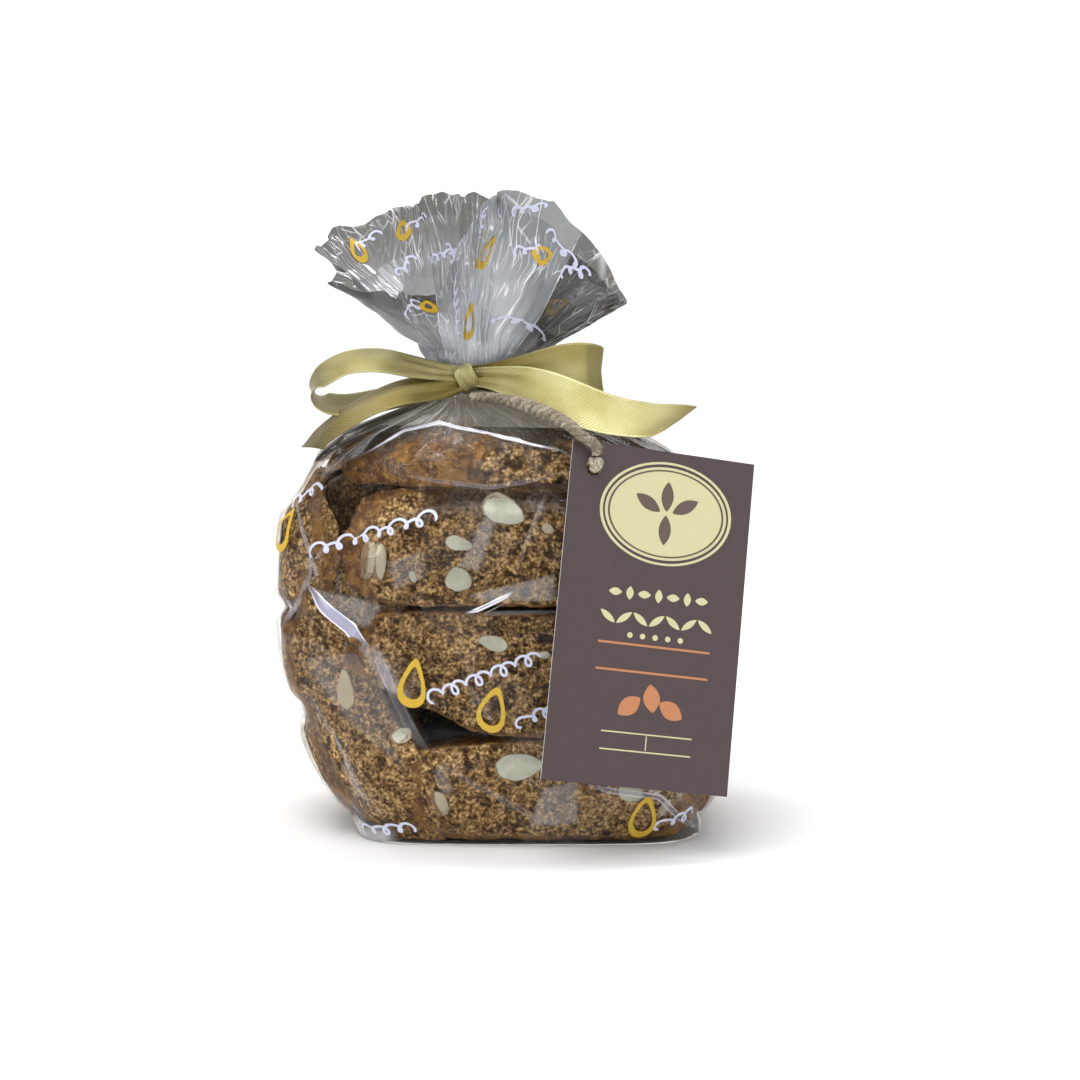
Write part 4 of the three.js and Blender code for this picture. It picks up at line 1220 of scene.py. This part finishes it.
def ribbon_strip(places, steps, shade, slant=0.0):
    """A strip along its places, creased lengthways where it is gathered into the knot.

    It has painted shade where it is gathered, and more by the amounts that shade gives along it.
    """
    middle = [Vector(place) for place, _, _ in places]
    wide = [Vector(way).normalized() * share for _, way, share in places]
    length = spline_length(middle)

    def place(u, v):
        side = 2 * v - 1
        along = (spline(middle, u + 0.004) - spline(middle, u - 0.004)).normalized()
        across = spline(wide, u)
        share = across.length
        across = (across - along * across.dot(along)).normalized()
        out = along.cross(across)
        gathered = 1 - min(share, 1.0)
        crease = gathered * (0.9 * cos(2.5 * pi * side + 0.6)
                             + 0.4 * sin(5 * pi * side))
        flutter = 0.12 * rough(u * length / 7, side, len(places))
        skew = slant * smooth_step(0.75, 1, u)
        point = (spline(middle, u) + across * side * share * RIBBON_WIDTH / 2 - along * side * skew
                 + out * (0.35 * (1 - abs(side)) + crease + flutter))
        return at(*point)

    mesh = map_grid(steps, 12, place)
    uv = mesh.loops.layers.uv.active
    shaded = mesh.verts.layers.float.new("shaded")
    for vert in mesh.verts:
        u = vert.link_loops[0][uv].uv.x
        gathered = 1 - min(spline(wide, u).length, 1.0)
        vert[shaded] = min(1.0, 0.3 * gathered + smooth_at(shade, 1, u))
    scale_uv(mesh, length)
    return mesh, length


def scale_uv(mesh, length):
    """The weave's own coordinates: millimetres along and across the ribbon."""
    layer = mesh.loops.layers.uv.active
    for face in mesh.faces:
        for loop in face.loops:
            loop[layer].uv = (loop[layer].uv.x * length, loop[layer].uv.y * RIBBON_WIDTH)


def knot_wrap():
    """The short turn of ribbon, drawn narrow and creased, that makes the knot."""
    tilt = Matrix.Rotation(-KNOT_TILT, 3, "Y")

    def place(u, v):
        turn = 2 * pi * u
        side = 2 * v - 1
        bulge = (0.75 * sqrt(max(0.0, 1 - side * side))
                 + 0.16 * cos(5.5 * side + 2 * sin(turn)))
        local = Vector((side * 2.7, (2.35 + bulge) * cos(turn), (3.15 + bulge) * sin(turn)))
        return at(*(tilt @ local + Vector(KNOT_MIDDLE)))

    mesh = map_grid(64, 16, place)
    scale_uv(mesh, 18.0)
    return mesh, 18.0


def neck_band():
    radius = NECK["radius"] + 1.0

    def place(u, v):
        turn = 2 * pi * u - pi / 2
        side = 2 * v - 1
        fold = 0.3 * cos(4 * side) + 0.25 * sin(3 * turn + 4 * side)
        out = radius + fold
        return at(NECK["x"] + out * cos(turn), NECK["y"] + out * sin(turn), 126.2 + side * 2.4)

    mesh = map_grid(120, 12, place)
    scale_uv(mesh, 2 * pi * radius)
    return mesh, 2 * pi * radius


def satin_material():
    """Gold satin: a fine slanted weave, a firm pale selvedge, a soft metallic sheen, and painted shade
    where it is shaded.
    """
    material, tree = new_material("gold satin")
    uv = node(tree, "ShaderNodeUVMap", {"uv_map": "UVMap"}, {})
    along = node(tree, "ShaderNodeSeparateXYZ", {}, {0: uv}, "X")
    across = node(tree, "ShaderNodeSeparateXYZ", {}, {0: uv}, "Y")
    twill = (along * 7.6 + across * 5.2).sine()
    thread = (along * 5.5 - across * 13.0).sine()
    edge = (across - RIBBON_WIDTH / 2).size()
    selvedge = edge.between(RIBBON_WIDTH / 2 - 0.7, RIBBON_WIDTH / 2 - 0.45)
    place = object_place(tree)
    cloud = noise_on(tree, place, 90, 3)
    tint = blend_colours(tree, cloud.between(0.3, 0.7), (0.42, 0.375, 0.15), (0.58, 0.545, 0.29))
    tint = blend_colours(tree, (twill * 0.5 + thread * 0.3 + 0.5).clipped() * 0.45, tint, (0.36, 0.3, 0.09))
    tint = blend_colours(tree, selvedge * 0.7, tint, (0.8, 0.76, 0.42))
    shaded = attribute(tree, "shaded")
    # Painted shade: the shaded parts turn dark gold.
    tint = blend_colours(tree, shaded, tint, (0.15, 0.1, 0.006))
    height = twill * 0.5 + thread * 0.3 + selvedge
    bump = bump_from(tree, height, 0.6, 0.00016)
    finish_plain(tree, tint, 0.3, bump, metallic=0.85)
    return material


# Each strip's list gives the painted shade along it.
strips = [ribbon_strip(LEFT_LOOP, 150, [(0, 0.1), (0.2, 0.35), (0.45, 0.4), (0.6, 0.45), (1, 0.8)]),
          ribbon_strip(RIGHT_LOOP, 130, [(0, 0.8), (0.2, 0.65), (0.5, 0.4), (0.6, 0.85), (1, 0.95)]),
          ribbon_strip(RIGHT_TAIL, 110, [(0, 0.0), (0.65, 0.0), (1, 0.5)], RIGHT_TAIL_SLANT),
          ribbon_strip(LEFT_TAIL, 90, [(0, 0.6), (1, 0.9)], LEFT_TAIL_SLANT),
          knot_wrap(), neck_band()]
ribbon = add_piece("ribbon_bow", join_meshes([mesh for mesh, _ in strips]), satin_material())
thicken = ribbon.modifiers.new("thickness", "SOLIDIFY")
thicken.thickness = RIBBON_THICK * MM
thicken.offset = 0
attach(ribbon, "root")
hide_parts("ribbon")

# ---- card tag ---------------------------------------------------------------------------
# Dark printed card with white cut edges and a punched hole. It is the solid itself; the
# print is thin shapes of ink on its front.
CARD_FRONT = TAG_FRAME @ Vector((0, 0, 1))


def card_material():
    material, tree = new_material("printed card")
    place = object_place(tree)
    normal = node(tree, "ShaderNodeNewGeometry", {}, {}, "True Normal")
    facing = node(tree, "ShaderNodeVectorMath", {"operation": "DOT_PRODUCT"},
                  {0: normal, 1: CARD_FRONT}, "Value")
    flat = facing.size().between(0.4, 0.6)
    fibre = noise_on(tree, place, 700, 4)
    ink = blend_colours(tree, fibre, (0.066, 0.042, 0.044), (0.08, 0.053, 0.056))
    tint = blend_colours(tree, flat, (0.74, 0.73, 0.72), ink)
    bump = bump_from(tree, fibre, 0.12, 0.0002)
    finish_plain(tree, tint, 0.42, bump)
    return material


def card_place(x_from_left, y_from_top, lift):
    return on_card(x_from_left - TAG_SIZE[0] / 2, TAG_SIZE[1] / 2 - y_from_top, TAG_SIZE[2] / 2 + lift)


def ring_shape(middle, half, inner, lift):
    """An oval ring, or a full oval where inner is 0."""
    def place(u, v):
        turn = 2 * pi * u
        share = inner + (1 - inner) * v
        return card_place(middle[0] + half[0] * share * cos(turn),
                          middle[1] - half[1] * share * sin(turn), lift)

    return map_grid(64, 4, place, joined=True)


def bar_shape(middle, half, lift):
    return map_grid(1, 1, lambda u, v: card_place(middle[0] + half[0] * (2 * u - 1),
                                                  middle[1] - half[1] * (2 * v - 1), lift))


def leaf_shape(middle, length, width, turn, lift):
    """A pointed leaf or an almond, along its length."""
    c, s = cos(radians(turn)), sin(radians(turn))

    def place(u, v):
        along = (u - 0.5) * length
        over = (v - 0.5) * width * sin(pi * u) ** 0.8
        return card_place(middle[0] + along * c - over * s, middle[1] - along * s - over * c, lift)

    return map_grid(16, 4, place)


OVAL = (27.3, 16.6)
cream_shapes = [ring_shape(OVAL, (17.0, 12.4), 0.0, 0.05), ring_shape(OVAL, (18.4, 13.8), 0.955, 0.05)]
cream_shapes += [leaf_shape((15.3 + i * 4.0, 38.6), 3.6, 2.0, 90 if i % 2 else 0, 0.05) for i in range(7)]
cream_shapes += [leaf_shape((13.8 + i * 4.5, 45.2), 5.2, 1.7, 38 if i % 2 else -38, 0.05) for i in range(7)]
cream_shapes += [ring_shape((20.3 + i * 3.5, 49.6), (0.75, 0.75), 0.0, 0.05) for i in range(5)]
cream_shapes += [bar_shape((27.3, 75.0), (12.5, 0.18), 0.05), bar_shape((27.3, 79.6), (12.5, 0.18), 0.05),
                 bar_shape((27.3, 77.3), (0.15, 1.9), 0.05)]
dark_shapes = [ring_shape(OVAL, (16.2, 11.7), 0.965, 0.09)]
dark_shapes += [leaf_shape((OVAL[0] + dx, OVAL[1] + dy), 8.0, 3.4, turn, 0.09)
                for dx, dy, turn in ((-5.2, -2.4, 150), (5.2, -2.4, 30), (0, -4.6, 90), (0, 4.4, 90))]
orange_shapes = [bar_shape((27.3, 52.0), (15.5, 0.3), 0.05), bar_shape((27.3, 59.0), (15.5, 0.3), 0.05)]
orange_shapes += [leaf_shape((27.3 + dx, 67 + dy), 7.5, 4.6, turn, 0.06)
                  for dx, dy, turn in ((-5.5, 1.0, 40), (0.5, -1.5, 100), (6.0, 1.2, 150))]


def ink_material(name, colour):
    return speckled_material(name, colour, (900, 3), 0.92, 0.45)


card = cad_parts["tag"]
card.data.materials.clear()
card.data.materials.append(card_material())
for name, shapes, colour in (("card_ink_cream", cream_shapes, (0.68, 0.645, 0.37)),
                             ("card_ink_dark", dark_shapes, (0.13, 0.09, 0.07)),
                             ("card_ink_orange", orange_shapes, (0.56, 0.23, 0.1))):
    part = add_piece(name, join_meshes(shapes), ink_material(name.replace("_", " "), colour))
    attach(part, "root")

# ---- film print -------------------------------------------------------------------------
# Plain shapes printed on the film in two inks: open yellow almonds, and runs of small white
# loops on a slant. Each follows the film's own surface, a hair outside it.
PRINT_LIFT = 0.2
BODY_ALMONDS = [  # across, up, length, width, turn
    (-63, 85, 12, 6.5, 78), (-26.5, 46, 13.5, 6.5, 78), (-5.5, 39, 13, 7, 70), (35, 8.5, 12, 7, 85),
]
BODY_LOOPS = [  # start across, start up, length, height, loops, turn
    (-54, 80, 31, 3.4, 9, 19), (-60, 92, 10, 3.2, 3, 32), (-22, 42.5, 33, 3.4, 9, 20),
    (1.5, 35.5, 12, 3.2, 3, 22), (-41, 3.6, 13, 3.0, 4, 6), (39, 6, 12, 3.0, 3, 15),
]
FLARE_ALMONDS = [  # angle round the neck, share of the way up, length, width, turn
    (294, 0.66, 9.5, 5, 60), (274, 0.32, 9.5, 5.5, 85), (330, 0.7, 8, 4.5, 35), (240, 0.84, 6.5, 4, 75),
    (160, 0.82, 8.5, 4.5, 100), (143, 0.86, 6, 4, 80), (75, 0.7, 10, 5.5, 80), (20, 0.6, 8, 4.5, 120),
]
FLARE_LOOPS = [  # angle round the neck, share of the way up, length, height, loops, turn
    (316, 0.88, 11, 2.4, 4, 35), (301, 0.84, 10, 2.2, 4, 70), (330, 0.85, 9, 2.4, 3, -15),
    (317, 0.66, 9, 2.4, 3, 20), (342, 0.7, 8, 2.2, 3, 50), (256, 0.5, 9, 2.2, 4, 80),
    (318, 0.28, 8, 2.2, 3, 10), (220, 0.72, 8, 2.2, 3, 30), (284, 0.8, 9, 2.2, 3, 75),
    (152, 0.9, 9, 2.2, 3, -20), (124, 0.9, 9, 2.4, 3, -10), (140, 0.68, 8, 2.2, 3, -30),
    (95, 0.66, 13, 2.6, 5, -10), (52, 0.7, 11, 2.4, 4, -20), (108, 0.5, 10, 2.2, 4, 80),
]
BACK_ALMONDS = [(40, 92, 12, 6.5, 80), (-4, 60, 13, 6.5, 75), (-42, 30, 12, 6.5, 80), (30, 22, 12, 6.5, 70)]
BACK_LOOPS = [  # from behind they run to the left, so their lengths are below 0
    (34, 86, -30, 3.4, 9, -19), (-10, 54, -30, 3.4, 9, -19), (22, 16, -28, 3.4, 8, -19),
    (-46, 24, -10, 3.2, 3, -19),
]


def angle_at(x, z, behind):
    """The angle at which the front or the back of the body reaches x at one height."""
    low, high = (pi, 0.0) if behind else (pi, 2 * pi)
    for _ in range(30):
        half = (low + high) / 2
        if body_point(half, z).x < x:
            low = half
        else:
            high = half
    return (low + high) / 2


def lifted(surface, first, second, step_first, step_second, lift=PRINT_LIFT):
    """A point of a surface, moved out along its normal."""
    point = surface(first, second)
    one = surface(first + step_first, second) - point
    two = surface(first, second + step_second) - point
    return point + one.cross(two).normalized() * lift


def patch_on(surface, first, second, scale_first, scale_second, turn, lift=PRINT_LIFT):
    """A function from millimetres on a flat patch to the film."""
    c, s = cos(radians(turn)), sin(radians(turn))

    def place(a, b):
        right, up = a * c - b * s, a * s + b * c
        return at(*lifted(surface, first + right * scale_first, second + up * scale_second,
                          0.2 * scale_first, 0.2 * scale_second, lift))

    return place


def body_patch(x, z, turn, behind=False):
    angle = angle_at(x, z, behind)
    per_radian = (body_point(angle + 0.02, z) - body_point(angle - 0.02, z)).length / 0.04
    return patch_on(body_point, angle, z, 1 / per_radian, 1.0, turn)


def flare_patch(bearing, t, turn, lift):
    angle = radians(bearing)
    per_radian = (flare_point(angle + 0.02, t) - flare_point(angle - 0.02, t)).length / 0.04
    per_share = (flare_point(angle, min(t + 0.05, 1)) - flare_point(angle, t - 0.05)).length / (
        min(t + 0.05, 1) - t + 0.05)
    limit = 1 / per_share

    def surface(first, second):
        return flare_point(first, min(max(second, 0.02), 0.985))

    return patch_on(surface, angle, t, 1 / per_radian, limit, turn, lift)


def almond_outline(patch, length, width):
    """An open almond shape drawn with a broad pen, pointed at one end."""
    pen = 1.1

    def place(u, v):
        turn = 2 * pi * u
        rim = Vector((length / 2 * cos(turn),
                      width / 2 * sin(turn) * (1 - 0.45 * cos(turn))))
        inner = rim * (1 - 2 * pen / width)
        edge = rim + (inner - rim) * v
        return patch(edge.x, edge.y)

    return map_grid(72, 4, place, joined=True)


def loop_run(patch, length, height, loops):
    """A running line of loops, uneven in size, as wide as a pen stroke."""
    pen = 0.36
    pitch = length / loops

    def middle_at(u):
        turn = 2 * pi * loops * u
        size = 0.72 + 0.28 * sin(2.3 * turn / loops * 2 + length) + 0.15 * sin(0.5 * turn + 1)
        return Vector((length * u - 0.42 * pitch * sin(turn) * size,
                       -height / 2 * cos(turn) * size))

    def place(u, v):
        way = (middle_at(u + 0.001) - middle_at(u - 0.001)).normalized()
        spot = middle_at(u) + Vector((-way.y, way.x)) * pen * (2 * v - 1)
        return patch(spot.x, spot.y)

    return map_grid(22 * loops, 2, place)


def print_on_film(shape, front, back, flare):
    """Meshes of one printed shape. A row holds its place, then its sizes, and its turn last."""
    meshes = [shape(body_patch(x, z, turn, behind), *sizes)
              for rows, behind in ((front, False), (back, True)) for x, z, *sizes, turn in rows]
    # The inside of the open flare shows its print as well as the outside.
    return meshes + [shape(flare_patch(angle, t, turn, lift), *sizes)
                     for angle, t, *sizes, turn in flare for lift in (PRINT_LIFT, -PRINT_LIFT)]


yellow_meshes = print_on_film(almond_outline, BODY_ALMONDS, BACK_ALMONDS, FLARE_ALMONDS)
white_meshes = print_on_film(loop_run, BODY_LOOPS, BACK_LOOPS, FLARE_LOOPS)
for name, meshes, colour in (("print_yellow", yellow_meshes, (0.68, 0.43, 0.03)),
                             ("print_white", white_meshes, (0.7, 0.72, 0.9))):
    part = add_piece(name, join_meshes(meshes), ink_material(name.replace("_", " "), colour))
    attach(part, "root")
